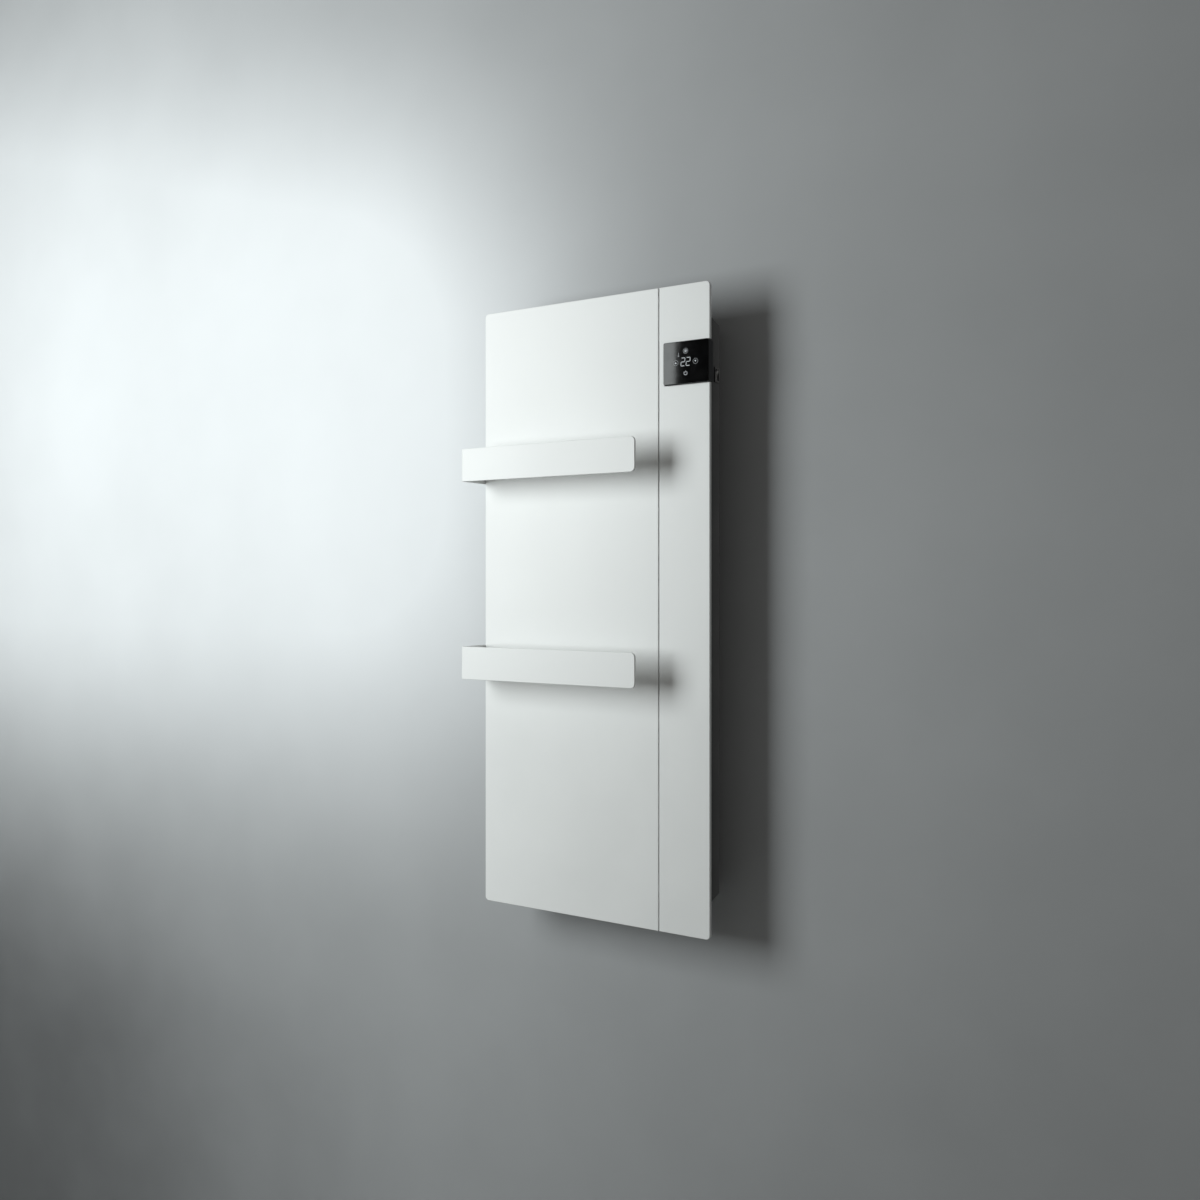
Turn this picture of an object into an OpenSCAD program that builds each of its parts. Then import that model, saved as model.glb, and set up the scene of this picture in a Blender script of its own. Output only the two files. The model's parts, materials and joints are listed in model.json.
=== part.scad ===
// Wall-hung electric towel warmer: a flat front in two panels, two cantilevered towel bars,
// a glass-faced control in the side panel, and a tapered rear housing on a hook-on bracket.
// The wall is the plane y = 0, the front faces -Y, and z = 0 is the middle of the panels.

/* [Front panels] */
// Width over both panels
panel_w = 512; // [490:1:560]
// Height of the panels
panel_h = 1200; // [1150:5:1300]
// Width of the narrow panel that carries the control
side_panel_w = 105; // [100:1:125]
// Open seam between the two panels
seam_gap = 2; // [1:0.5:4]
// Depth of the folded edge of the panels
panel_depth = 7; // [6.5:0.5:12]
// Sheet of the panels
panel_sheet = 1.5; // [1:0.1:1.8]
// Radius of the panels' outer corners
panel_corner_r = 8; // [4:1:14]
// Radius of the fold along the panels' edges
panel_fold_r = 1.2; // [0.6:0.1:2]

/* [Wall spacing] */
// Distance from the wall to the front of the panels
wall_to_front = 110; // [104:1:130]
// Gap between the wall and the back of the housing
wall_gap = 11; // [10.5:0.5:14]

/* [Towel bars] */
// Height of a towel bar
bar_h = 65; // [50:1:80]
// Thickness of the flat strip that a bar is bent from
bar_t = 5; // [4:0.5:6]
// Distance from the panels' front to the bars' front
bar_reach = 71; // [55:1:90]
// Length of a bar's front, over the leg
bar_len = 403; // [340:1:410]
// Gap between the panel's edge and a bar's leg
bar_edge_gap = 3; // [2:0.5:6]
// Inside radius of a bar's bends
bar_bend_r = 2; // [1:0.5:3]
// Radius of the corners at a bar's free end
bar_end_r = 9; // [3:1:16]
// Drop from the panels' top to the middle of the upper bar
upper_bar_drop = 315; // [240:1:340]
// Drop from the panels' top to the middle of the lower bar
lower_bar_drop = 710; // [640:1:760]
// Thickness of the silicone pad under a bar's foot
bar_pad_t = 1; // [0.5:0.1:2]

/* [Control] */
// Width of the control
control_w = 93; // [88:1:93]
// Height of the control
control_h = 78; // [72:1:90]
// Drop from the panels' top to the control's top
control_drop = 106; // [80:1:130]
// How far the glass stands in front of the panels
control_proud = 6; // [5:0.5:9]
// How far the control's case reaches behind the carrier plate
case_reach = 4.5; // [3:0.5:10]
// Thickness of the control's glass
glass_t = 3; // [2:0.5:4]
// Radius of the control's corners
control_corner_r = 3; // [1:0.5:6]
// Wall of the control's case
case_wall = 2; // [1.5:0.1:3]
// Clearance between the control and the cut-out round it
control_gap = 0.5; // [0.3:0.1:1.5]

/* [Rear housing] */
// Inset of the housing's sides from the panels' sides
housing_inset = 29; // [27:1:36]
// Inset of the housing's top and bottom at its front
housing_front_inset = 35; // [30:1:44]
// Inset of the housing's top and bottom at the wall
housing_rear_inset = 60; // [48:1:75]
// Sheet of the housing
housing_sheet = 1.5; // [1:0.1:2]
// Width of the flange that the housing is screwed by
flange_w = 12; // [11:0.5:14]
// Length of a vent slot
vent_len = 32; // [20:1:36]
// Width of a vent slot
vent_w = 5; // [3:0.5:7]
// Height of the pressed beads in the housing's back
bead_h = 1.2; // [0.6:0.1:2]

/* [Carrier and heating] */
// Sheet of the carrier plate behind the panels
carrier_t = 1.5; // [1.2:0.1:2]
// Inset of the carrier from the panels' edges
carrier_inset = 2; // [1.8:0.1:3]
// Thickness of the aluminium plate bonded to the main panel
heat_plate_t = 1; // [0.6:0.1:1.2]
// Diameter of the heating cable
cable_d = 3.2; // [2.4:0.1:3.4]
// Least distance from the aluminium plate's edge to the heating cable
cable_margin = 20; // [12:1:26]
// Distance from one run of the heating cable to the next
cable_pitch = 33; // [26:1:34]
// Thickness of the insulation mat
mat_t = 12; // [8:1:18]
// Length of the finned convector element
element_len = 250; // [200:5:260]
// Thickness of a fin of the convector element
fin_t = 2.4; // [1.6:0.1:4]

/* [Mains switch] */
// Drop from the panels' top to the middle of the switch
switch_drop = 157; // [140:1:170]
// Distance from the housing's back to the middle of the switch
switch_from_back = 13; // [12:1:30]
// Height of the switch's rocker
rocker_h = 20; // [18:0.5:22]
// Width of the switch's rocker
rocker_w = 12; // [10:0.5:13]
// Tilt of the rocker to either side
rocker_tilt = 10; // [7:1:12]

/* [Wall bracket] */
// Spacing of the wall screws across
screw_spacing_x = 260; // [220:5:280]
// Spacing of the wall screws up and down
screw_spacing_z = 708; // [640:2:760]
// Radius of the wall screws' holes
screw_hole_r = 3.5; // [2.5:0.1:4]
// Sheet of the bracket
bracket_sheet = 2; // [1.5:0.1:2.5]
// Height of a bracket rail
rail_h = 64; // [60:1:72]
// Length of a bracket rail
rail_len = 320; // [300:5:340]
// Width of a hook
hook_w = 24; // [18:1:30]
// Height of a hook's lip above its neck
hook_lip = 10; // [7:0.5:12]
// Spacing of the hooks across
hook_spacing = 200; // [160:5:220]

/* [Cable inlet] */
// Radius of the inlet's bore for the mains lead
inlet_r = 4; // [3:0.1:5]

/* [Hidden] */
$fn = 48;

// Reach of a cut past the faces it opens
over = 1;
// Running clearance of a pin in its bore, on the radius
pin_gap = 0.05;
// Clearance that keeps a soft or round piece off a flat one
rest_gap = 0.1;

left = -panel_w / 2;
right = panel_w / 2;
top = panel_h / 2;
bottom = -panel_h / 2;
main_panel_w = panel_w - side_panel_w - seam_gap;
main_right = left + main_panel_w;
side_left = right - side_panel_w;

// Planes that lie parallel to the wall, from the front to the back
front_y = -wall_to_front;
inside_y = front_y + panel_sheet;
carrier_y = front_y + panel_depth;
carrier_back_y = carrier_y + carrier_t;
housing_back_y = -wall_gap;
housing_floor_y = housing_back_y - housing_sheet;

// Fixings shared by the pieces that they hold
stud_r = 2;
stud_gap = 0.25;
stud_tip = 1.5;
nut_across = 7;
nut_t = 3.2;
screw_r = 1.9;
screw_head_r = 3.8;
screw_head_t = 2.4;
screw_tip = 2.5;
cross_len = 4.2;
cross_w = 0.8;
// Middle of the margin between a panel's edge and the housing's flange
margin_x = 9;
stud_end = 60;
bar_z = [top - upper_bar_drop, top - lower_bar_drop];
mid_bars_z = (bar_z[0] + bar_z[1]) / 2;
stud_below_bar = 190;
mid_shift = 20;
stud_z = [bottom + stud_end, bar_z[1] - stud_below_bar, mid_bars_z - mid_shift, top - stud_end];
stud_x = [left + margin_x, main_right - margin_x, side_left + margin_x, right - margin_x];

module outline_prism(y0, y1) {
    // An outline drawn in x and z, made solid from y0 back to y1
    translate([0, y1, 0]) rotate([90, 0, 0]) linear_extrude(y1 - y0) children();
}

module profile_along_x(x0, x1) {
    // A profile drawn in y and z, made solid from x0 to x1
    translate([x0, 0, 0]) rotate([90, 0, 90]) linear_extrude(x1 - x0) children();
}

module block(low, high) {
    translate(low) cube(high - low);
}

module rod_y(x, z, y0, y1, r) {
    translate([x, y1, z]) rotate([90, 0, 0]) cylinder(r = r, h = y1 - y0);
}

module rod_x(x0, x1, y, z, r) {
    translate([x0, y, z]) rotate([0, 90, 0]) cylinder(r = r, h = x1 - x0);
}

module rect(low, high) {
    translate(low) square(high - low);
}

module round_rect(low, high, r) {
    // A rectangle with all four corners rounded
    rect([low[0] + r, low[1]], [high[0] - r, high[1]]);
    rect([low[0], low[1] + r], [high[0], high[1] - r]);
    for (x = [low[0] + r, high[0] - r], y = [low[1] + r, high[1] - r])
        translate([x, y]) circle(r);
}

module side_rounded(low, high, r, side) {
    // A rectangle with the two corners on its left (-1) or right (1) rounded
    round_rect(low, high, r);
    x0 = side < 0 ? low[0] + r : low[0];
    x1 = side < 0 ? high[0] : high[0] - r;
    rect([x0, low[1]], [x1, high[1]]);
}

module slot_outline(length, width) {
    // A slot with round ends, centred, its length along x
    square([length - width, width], center = true);
    for (s = [-1, 1]) translate([s * (length - width) / 2, 0]) circle(width / 2);
}

module folded_profile(a0, a1) {
    // The section of a panel's block: its two front edges are rounded by the fold
    rect([a0, front_y + panel_fold_r], [a1, carrier_y]);
    rect([a0 + panel_fold_r, front_y], [a1 - panel_fold_r, carrier_y]);
    for (a = [a0 + panel_fold_r, a1 - panel_fold_r])
        translate([a, front_y + panel_fold_r]) circle(panel_fold_r);
}

module folded_panel(x0, x1, side) {
    // A sheet panel with its edges folded back, open at the rear
    difference() {
        intersection() {
            outline_prism(front_y, carrier_y)
                side_rounded([x0, bottom], [x1, top], panel_corner_r, side);
            translate([0, 0, bottom]) linear_extrude(panel_h) folded_profile(x0, x1);
            profile_along_x(x0, x1) mirror([1, -1]) folded_profile(bottom, top);
        }
        outline_prism(inside_y, carrier_y + over)
            side_rounded([x0 + panel_sheet, bottom + panel_sheet], [x1 - panel_sheet, top - panel_sheet],
                panel_corner_r - panel_sheet, side);
    }
}

// Control: its outline, and the cut-out that it sits in
control_left = right - control_w;
control_top = top - control_drop;
control_bottom = control_top - control_h;
control_mid_z = (control_top + control_bottom) / 2;
glass_front_y = front_y - control_proud;
case_front_y = glass_front_y + glass_t;
case_back_y = carrier_back_y + case_reach;

module control_cutout(extra, y0, y1) {
    block([control_left - extra, y0, control_bottom - extra], [right + over, y1, control_top + extra]);
}

module main_panel() color("white") folded_panel(left, main_right, -1);

module side_panel() color("white") {
    difference() {
        folded_panel(side_left, right, 1);
        control_cutout(control_gap, front_y - over, carrier_y + over);
    }
    difference() {
        intersection() {
            control_cutout(control_gap + panel_sheet, inside_y - panel_sheet / 2, carrier_y);
            block([side_left, front_y, bottom], [right, carrier_y, top]);
        }
        control_cutout(control_gap, front_y - over, carrier_y + over);
    }
}

// Bars
bar_leg_x = left - bar_edge_gap - bar_t;
bar_front_y = front_y - bar_reach;
bar_foot_y = carrier_back_y + bar_pad_t;
foot_gap = 3;
foot_clear = 2;
bar_foot_right = left + housing_inset - foot_gap;
bolt_r = 3;
bolt_head_r = 5;
bolt_head_t = 3.6;
bolt_socket_r = 2.25;
bolt_socket_depth = 2.2;
bolt_edge = 14.625;
bolt_spread = bar_h - 2 * bolt_edge;
bolt_inset = 13;
bolt_x = left + bolt_inset;
clinch_r = 5.5;
clinch_gap = 1.5;
clinch_t = panel_depth - panel_sheet - clinch_gap;

module strip_bend(x, y, turn) {
    // A quarter of a ring that joins two straight stretches of the strip
    outer = bar_bend_r + bar_t;
    translate([x, y]) rotate(turn) intersection() {
        difference() {
            circle(outer);
            circle(bar_bend_r);
        }
        square(outer + over);
    }
}

module towel_bar(mid_z) color("white") {
    outer = bar_bend_r + bar_t;
    back_y = bar_foot_y + bar_t;
    intersection() {
        translate([0, 0, mid_z - bar_h / 2]) linear_extrude(bar_h) {
            rect([bar_leg_x + outer, bar_front_y], [bar_leg_x + bar_len, bar_front_y + bar_t]);
            strip_bend(bar_leg_x + outer, bar_front_y + outer, 180);
            rect([bar_leg_x, bar_front_y + outer], [bar_leg_x + bar_t, back_y - outer]);
            strip_bend(bar_leg_x + outer, back_y - outer, 90);
            rect([bar_leg_x + outer, bar_foot_y], [bar_foot_right, back_y]);
        }
        outline_prism(bar_front_y - over, back_y + over)
            side_rounded([bar_leg_x - over, mid_z - bar_h / 2],
                [bar_leg_x + bar_len, mid_z + bar_h / 2], bar_end_r, 1);
    }
}

module bolt_places() {
    for (z = bar_z, s = [-1, 1]) translate([bolt_x, 0, z + s * bolt_spread / 2]) children();
}

module drilled_bar(mid_z) {
    difference() {
        towel_bar(mid_z);
        bolt_places() rod_y(0, 0, bar_foot_y - over, bar_foot_y + bar_t + over, bolt_r + stud_gap);
    }
}

module upper_towel_bar() drilled_bar(bar_z[0]);
module lower_towel_bar() drilled_bar(bar_z[1]);

module bar_pads() color("dimgray") {
    difference() {
        for (z = bar_z)
            block([left + carrier_inset, carrier_back_y, z - bar_h / 2],
                [bar_foot_right, bar_foot_y, z + bar_h / 2]);
        bolt_places() rod_y(0, 0, carrier_back_y - over, bar_foot_y + over, bolt_r + stud_gap);
    }
}

module bar_bolts() color("silver") {
    head_y = bar_foot_y + bar_t;
    bolt_places() difference() {
        union() {
            rod_y(0, 0, carrier_y - clinch_t, head_y + over, bolt_r);
            rod_y(0, 0, head_y, head_y + bolt_head_t, bolt_head_r);
        }
        translate([0, head_y + bolt_head_t + over, 0]) rotate([90, 0, 0])
            cylinder(r = bolt_socket_r, h = bolt_socket_depth + over, $fn = 6);
    }
}

module bar_clinch_nuts() color("gold") {
    bolt_places() difference() {
        rod_y(0, 0, carrier_y - clinch_t, carrier_y, clinch_r);
        rod_y(0, 0, carrier_y - clinch_t - over, carrier_y + over, bolt_r + pin_gap);
    }
}

module stud_places() {
    for (x = stud_x, z = stud_z) translate([x, 0, z]) children();
}

module panel_studs() color("silver") {
    stud_places() rod_y(0, 0, inside_y, carrier_back_y + nut_t + stud_tip, stud_r);
}

module panel_nuts() color("silver") {
    stud_places() difference() {
        translate([0, carrier_back_y + nut_t, 0]) rotate([90, 0, 0])
            cylinder(d = nut_across / cos(30), h = nut_t, $fn = 6);
        rod_y(0, 0, carrier_back_y - over, carrier_back_y + nut_t + over, stud_r + pin_gap);
    }
}

// Heating: the plate, and the cable that runs up and down behind it
plate_margin = 22;
plate_left_margin = 30;
plate_end_margin = 40;
plate_corner_r = 6;
plate_left = left + plate_left_margin;
plate_right = main_right - plate_margin;
plate_end_z = top - plate_end_margin;
plate_back_y = inside_y + heat_plate_t;
cable_y = plate_back_y + rest_gap + cable_d / 2;
cable_room = plate_right - plate_left - 2 * cable_margin;
cable_runs = 2 * floor((cable_room / cable_pitch + 1) / 2);
cable_edge = (plate_right - plate_left - cable_pitch * (cable_runs - 1)) / 2;
cable_bend = 12;
cable_end_margin = 32;
lead_z = plate_end_z - cable_end_margin;
grommet_r = 4;
lead_r = 1.5;
lead_above_floor = 20;
lead_y = housing_floor_y - lead_above_floor;
function run_x(i) = plate_left + cable_edge + i * cable_pitch;
lead_x = [run_x(0), run_x(cable_runs - 1)];

module heating_plate() color("lightgray")
    outline_prism(inside_y, plate_back_y)
        round_rect([plate_left, -plate_end_z], [plate_right, plate_end_z], plate_corner_r);

module elbow(corner, a, b, bend, r) {
    // A quarter turn from direction a to direction b, where the path would have a corner
    centre = corner - a * bend + b * bend;
    n = cross(-b, a);
    multmatrix([for (i = [0:2]) [-b[i], a[i], n[i], centre[i]]])
        rotate_extrude(angle = 90) translate([bend, 0]) circle(r);
}

module straight(p, q, r) {
    d = q - p;
    len = norm(d);
    translate(p)
        rotate([0, acos(d[2] / len), atan2(d[1], d[0])]) cylinder(r = r, h = len);
}

module lead(points, r, bends) {
    // A wire whose path turns square corners: bends holds the bend radius of each corner in turn
    last = len(points) - 1;
    way = [for (i = [0:last - 1]) (points[i + 1] - points[i]) / norm(points[i + 1] - points[i])];
    for (i = [0:last - 1]) {
        from = i == 0 ? points[0] : points[i] + way[i] * bends[i - 1];
        to = i == last - 1 ? points[last] : points[i + 1] - way[i] * bends[i];
        straight(from, to, r);
    }
    for (i = [1:last - 1]) elbow(points[i], way[i - 1], way[i], bends[i - 1], r);
}

// The cable's corners: in through the carrier, down and up its runs, and out again
tail_bend = 3;
tail_len = 4;
tail_y = carrier_back_y + tail_len;
cable_turns = [for (i = [0:cable_runs - 2], x = [run_x(i), run_x(i + 1)])
    [x, cable_y, i % 2 == 0 ? -lead_z : lead_z]];
cable_points = concat([[lead_x[0], tail_y, lead_z], [lead_x[0], cable_y, lead_z]], cable_turns,
    [[lead_x[1], cable_y, lead_z], [lead_x[1], tail_y, lead_z]]);
cable_bends = concat([tail_bend], [for (p = cable_turns) cable_bend], [tail_bend]);

module heating_cable() color("firebrick") lead(cable_points, cable_d / 2, cable_bends, $fn = 20);

comb_w = 14;
comb_inset = 6;
comb_pitch = plate_end_z / 2.8;
comb_z = [for (i = [-2:2]) i * comb_pitch];
comb_gap = 0.6;
comb_t = carrier_y - plate_back_y - comb_gap;

module cable_combs() color("black") {
    difference() {
        for (z = comb_z)
            block([plate_left + comb_inset, plate_back_y, z - comb_w / 2],
                [plate_right - comb_inset, plate_back_y + comb_t, z + comb_w / 2]);
        for (i = [0:cable_runs - 1]) {
            translate([run_x(i), cable_y, -plate_end_z])
                cylinder(r = cable_d / 2 + rest_gap, h = 2 * plate_end_z);
            block([run_x(i) - cable_d / 2 - rest_gap, plate_back_y - over, -plate_end_z],
                [run_x(i) + cable_d / 2 + rest_gap, cable_y, plate_end_z]);
        }
    }
}

module cable_grommets() color("black") {
    lip = 1.2;
    for (x = lead_x) difference() {
        union() {
            rod_y(x, lead_z, carrier_y, carrier_back_y, grommet_r);
            rod_y(x, lead_z, carrier_back_y, carrier_back_y + lip, grommet_r + lip);
        }
        rod_y(x, lead_z, carrier_y - over, carrier_back_y + lip + over, cable_d / 2 + rest_gap);
    }
}

// Rear housing: its section, and where it is screwed to the carrier
housing_left = left + housing_inset;
housing_right = right - housing_inset;
housing_front_z = top - housing_front_inset;
housing_rear_z = top - housing_rear_inset;
housing_run = housing_back_y - carrier_back_y;
slope = atan((housing_rear_inset - housing_front_inset) / housing_run);
wall_shift = housing_sheet / cos(slope);
flange_mid = flange_w / 2;
flange_top_z = housing_front_z + flange_mid;
screw_end = 120;
screw_below_bar = 90;
screw_above_bar = 75;
screw_below_control = 56;
left_screw_z = [bottom + screw_end, bar_z[1] - screw_below_bar, mid_bars_z + mid_shift,
    bar_z[0] + screw_above_bar];
third_z = bottom + panel_h / 3;
right_screw_z = [bottom + screw_end, third_z, (third_z + control_bottom) / 2,
    control_bottom - screw_below_control];
end_screw_inset = 66;
end_screw_x = [housing_left + end_screw_inset, 0, housing_right - end_screw_inset];

function slope_z(y) =
    housing_front_z + (housing_rear_z - housing_front_z) * (y - carrier_back_y) / housing_run;

module housing_section(shrink, y0, y1) {
    // The housing's section in y and z, taken in by shrink at the sloping walls
    polygon([[y0, slope_z(y0) - shrink], [y1, slope_z(y1) - shrink],
        [y1, shrink - slope_z(y1)], [y0, shrink - slope_z(y0)]]);
}

module housing_screw_places() {
    for (z = left_screw_z) translate([housing_left - flange_mid, 0, z]) children();
    for (z = right_screw_z) translate([housing_right + flange_mid, 0, z]) children();
    for (x = end_screw_x, s = [-1, 1]) translate([x, 0, s * flange_top_z]) children();
}

module on_slope(side, x, y) {
    // Puts a piece on the top (1) or bottom (-1) wall, with its own z along the outward normal
    translate([x, y, side * (slope_z(y) - wall_shift / 2)])
        rotate([side > 0 ? -slope : 180 + slope, 0, 0]) children();
}

vent_bridge = 10;
vent_pitch = vent_len + vent_bridge;
vent_row_pitch = 13;
vent_margin = 30;
vent_left = housing_left + vent_margin;
vent_mid_y = (carrier_back_y + housing_back_y) / 2;
gland_inset = 46;
gland_shift = 6;
gland_wall = 4;
gland_x = housing_right - gland_inset;
gland_y = vent_mid_y + gland_shift;
gland_thread_r = inlet_r + gland_wall;
gland_hex = 2 * (gland_thread_r + 2);
gland_gap = 0.2;
gland_flange_t = 4.5;
gland_thread_top = 8;
vent_count = floor((gland_x - gland_hex - vent_left) / vent_pitch);

module vents() {
    for (side = [-1, 1], i = [0:vent_count - 1])
        on_slope(side, vent_left + (i + 0.5) * vent_pitch, vent_mid_y)
            for (row = [-2:2]) translate([0, row * vent_row_pitch, -wall_shift])
                linear_extrude(2 * wall_shift) slot_outline(vent_len, vent_w);
}

bead_off_hook = 92;
bead_margin = 130;
bead_x = hook_spacing / 2 + bead_off_hook;
bead_w = 16;
bead_end_z = housing_rear_z - bead_margin;

module beads(grow, y0, y1) {
    for (s = [-1, 1])
        outline_prism(y0, y1) translate([s * bead_x, 0]) rotate(90)
            slot_outline(2 * bead_end_z + 2 * grow, bead_w + 2 * grow);
}

// Wall bracket: rails, hooks, and the slots that the hooks reach through
flange_flat = 16;
rail_gap = 1;
rail_rise = wall_gap - rail_gap;
hook_neck = 4;
hook_play = 1.5;
hang_plate_t = 2;
lip_t = 2.5;
lip_gap = 0.5;
hook_top = 6;
rail_z = screw_spacing_z / 2 + flange_flat / 2 - rail_h / 2;
hook_places = [for (s = [-1, 1], t = [-1, 1]) [s * hook_spacing / 2, t * rail_z]];
slot_gap = 1;

module hook_slots(y0, y1) {
    for (p = hook_places)
        block([p[0] - hook_w / 2 - slot_gap, y0, p[1] + hook_top - hook_neck - hook_lip - hook_play],
            [p[0] + hook_w / 2 + slot_gap, y1, p[1] + hook_top]);
}

// Mains switch on the housing's right side
switch_z = top - switch_drop;
switch_y = housing_back_y - switch_from_back;
switch_gap = 0.3;
switch_wall = 2.4;
switch_pocket = 12;
rocker_play = 1;
switch_open_w = rocker_w + 2 * switch_gap;
switch_open_h = rocker_h + 2 * switch_gap + rocker_play;
switch_body_w = switch_open_w + 2 * switch_wall;
switch_body_h = switch_open_h + 2 * switch_wall;
switch_depth = 22;
blade_len = 5;
blade_half_w = 3;
blade_half_t = 0.4;
blade_pitch = 7;
bezel_w = 1;
bezel_t = 2;
pivot_depth = 1;
pivot_x = housing_right - pivot_depth;
blade_x = housing_right - switch_depth - blade_len;
pivot_r = 1.2;
pivot_seat = 1.6;
pivot_end_gap = 0.2;

module switch_box(grow, x0, x1) {
    block([x0, switch_y - switch_body_w / 2 - grow, switch_z - switch_body_h / 2 - grow],
        [x1, switch_y + switch_body_w / 2 + grow, switch_z + switch_body_h / 2 + grow]);
}

module rear_housing() color("dimgray") {
    difference() {
        union() {
            profile_along_x(housing_left, housing_right) housing_section(0, carrier_back_y, housing_back_y);
            block([housing_left - flange_w, carrier_back_y, -housing_front_z - flange_w],
                [housing_right + flange_w, carrier_back_y + housing_sheet, housing_front_z + flange_w]);
            beads(0, housing_floor_y, housing_back_y + bead_h);
        }
        profile_along_x(housing_left + housing_sheet, housing_right - housing_sheet)
            housing_section(wall_shift, carrier_back_y - over, housing_floor_y);
        beads(-housing_sheet, housing_floor_y - over, housing_back_y + bead_h - housing_sheet);
        vents();
        hook_slots(housing_floor_y - over, housing_back_y + over);
        housing_screw_places()
            rod_y(0, 0, carrier_back_y - over, carrier_back_y + housing_sheet + over, screw_r + stud_gap);
        stud_places() rod_y(0, 0, carrier_back_y - over, carrier_back_y + housing_sheet + over, nut_across);
        for (z = bar_z)
            block([housing_left - flange_w - over, carrier_back_y - over, z - bar_h / 2 - foot_clear],
                [housing_left, carrier_back_y + housing_sheet + over, z + bar_h / 2 + foot_clear]);
        block([housing_right - housing_sheet - over, carrier_back_y - over, control_bottom - control_gap],
            [right, case_back_y + control_gap, control_top + control_gap]);
        switch_box(switch_gap, housing_right - housing_sheet - over, housing_right + over);
        on_slope(-1, gland_x, gland_y)
            cylinder(r = gland_thread_r + gland_gap, h = 4 * wall_shift, center = true);
    }
}

module hang_plates() color("lightgray") {
    // Each stiffens the sheet round a hook slot, with most of its height below the hook
    half_w = hook_w / 2 + 14;
    above = 20;
    below = 26;
    corner_r = 4;
    difference() {
        for (p = hook_places)
            outline_prism(housing_floor_y - hang_plate_t, housing_floor_y)
                round_rect([p[0] - half_w, p[1] - below], [p[0] + half_w, p[1] + above], corner_r);
        hook_slots(housing_floor_y - hang_plate_t - over, housing_floor_y + over);
    }
}

module housing_screws() color("silver") {
    head_y = carrier_back_y + housing_sheet;
    housing_screw_places() difference() {
        union() {
            rod_y(0, 0, carrier_y - screw_tip, head_y + over, screw_r);
            rod_y(0, 0, head_y, head_y + screw_head_t, screw_head_r);
        }
        for (turn = [0, 90])
            translate([0, head_y + screw_head_t, 0]) rotate([0, turn, 0])
                cube([cross_len, screw_head_t, cross_w], center = true);
    }
}

module wall_buffers() color("black") {
    // A hollow stop near each lower corner, clear of the beads
    buffer_r = 9;
    buffer_x = bead_x - 4;
    buffer_margin = 60;
    for (s = [-1, 1]) translate([s * buffer_x, 0, buffer_margin - housing_rear_z])
        difference() {
            rod_y(0, 0, housing_back_y, 0, buffer_r);
            rod_y(0, 0, housing_back_y / 2, over, buffer_r / 2);
        }
}

module carrier_plate() color("gray") {
    difference() {
        outline_prism(carrier_y, carrier_back_y)
            round_rect([left + carrier_inset, bottom + carrier_inset],
                [right - carrier_inset, top - carrier_inset], panel_corner_r - carrier_inset);
        control_cutout(control_gap, carrier_y - over, carrier_back_y + over);
        stud_places() rod_y(0, 0, carrier_y - over, carrier_back_y + over, stud_r + stud_gap);
        bolt_places() rod_y(0, 0, carrier_y - over, carrier_back_y + over, bolt_r + stud_gap);
        housing_screw_places() rod_y(0, 0, carrier_y - over, carrier_back_y + over, screw_r + pin_gap);
        for (x = lead_x) rod_y(x, lead_z, carrier_y - over, carrier_back_y + over, grommet_r);
        strap_screw_places() rod_y(0, 0, carrier_y - over, carrier_back_y + over, strap_screw_r + pin_gap);
    }
}

mat_inset = 8;
mat_right = main_right - 30;
mat_top = lead_z - 20;
module insulation_mat() color("khaki")
    block([housing_left + housing_sheet + mat_inset, carrier_back_y, mat_inset - housing_rear_z],
        [mat_right, carrier_back_y + mat_t, mat_top]);

// Control pieces
boss_r = 3.4;
boss_bore_r = 1.3;
board_t = 1.6;
board_gap = 1;
board_inset = case_wall + board_gap;
board_depth = 6.2;
board_back_y = case_front_y + board_depth;
board_corner_r = 2;
strap_w = 24;
strap_inset = 14;
strap_x1 = housing_right - strap_inset;
strap_x0 = strap_x1 - strap_w;
strap_t = 1.5;
strap_mid_x = (strap_x0 + strap_x1) / 2;
strap_screw_r = 1.5;
strap_foot = 13;
strap_hole_r = 1.8;
strap_leg = control_h / 2 + control_gap + 1;
boss_margin = 11;
strap_bore_z = [control_bottom + boss_margin, control_top - boss_margin];
boss_x = control_left + boss_margin - 1;
case_hole_r = 4;
case_hole_x = strap_x0 - 10;

module control_case() color("black") {
    difference() {
        outline_prism(case_front_y, case_back_y)
            round_rect([control_left, control_bottom], [right, control_top], control_corner_r);
        block([control_left + case_wall, case_front_y - over, control_bottom + case_wall],
            [right - case_wall, case_back_y - case_wall, control_top - case_wall]);
        rod_y(case_hole_x, control_mid_z, case_back_y - case_wall - over, case_back_y + over, case_hole_r);
        for (z = strap_bore_z)
            rod_y(strap_mid_x, z, case_back_y - case_wall - over, case_back_y + over, boss_bore_r);
    }
    case_floor_y = case_back_y - case_wall;
    for (z = strap_bore_z) difference() {
        rod_y(strap_mid_x, z, board_back_y, case_floor_y, boss_r);
        rod_y(strap_mid_x, z, board_back_y + 1, case_floor_y + over, boss_bore_r);
    }
    for (z = strap_bore_z) rod_y(boss_x, z, board_back_y, case_floor_y, boss_r);
}

module control_glass() color("black")
    outline_prism(glass_front_y, case_front_y)
        round_rect([control_left, control_bottom], [right, control_top], control_corner_r);

display_x = right - control_w / 2;
display_half_w = 14;
display_half_h = 9;
display_gap = 0.4;
key_offset = 20.5;
key_r = 4;
key_wall = 0.8;
key_places = [[-key_offset, 0], [key_offset, 0], [0, key_offset], [0, -key_offset]];

module display_board() color("darkgreen")
    outline_prism(board_back_y - board_t, board_back_y)
        round_rect([control_left + board_inset, control_bottom + board_inset],
            [right - board_inset, control_top - board_inset], board_corner_r);

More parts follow.
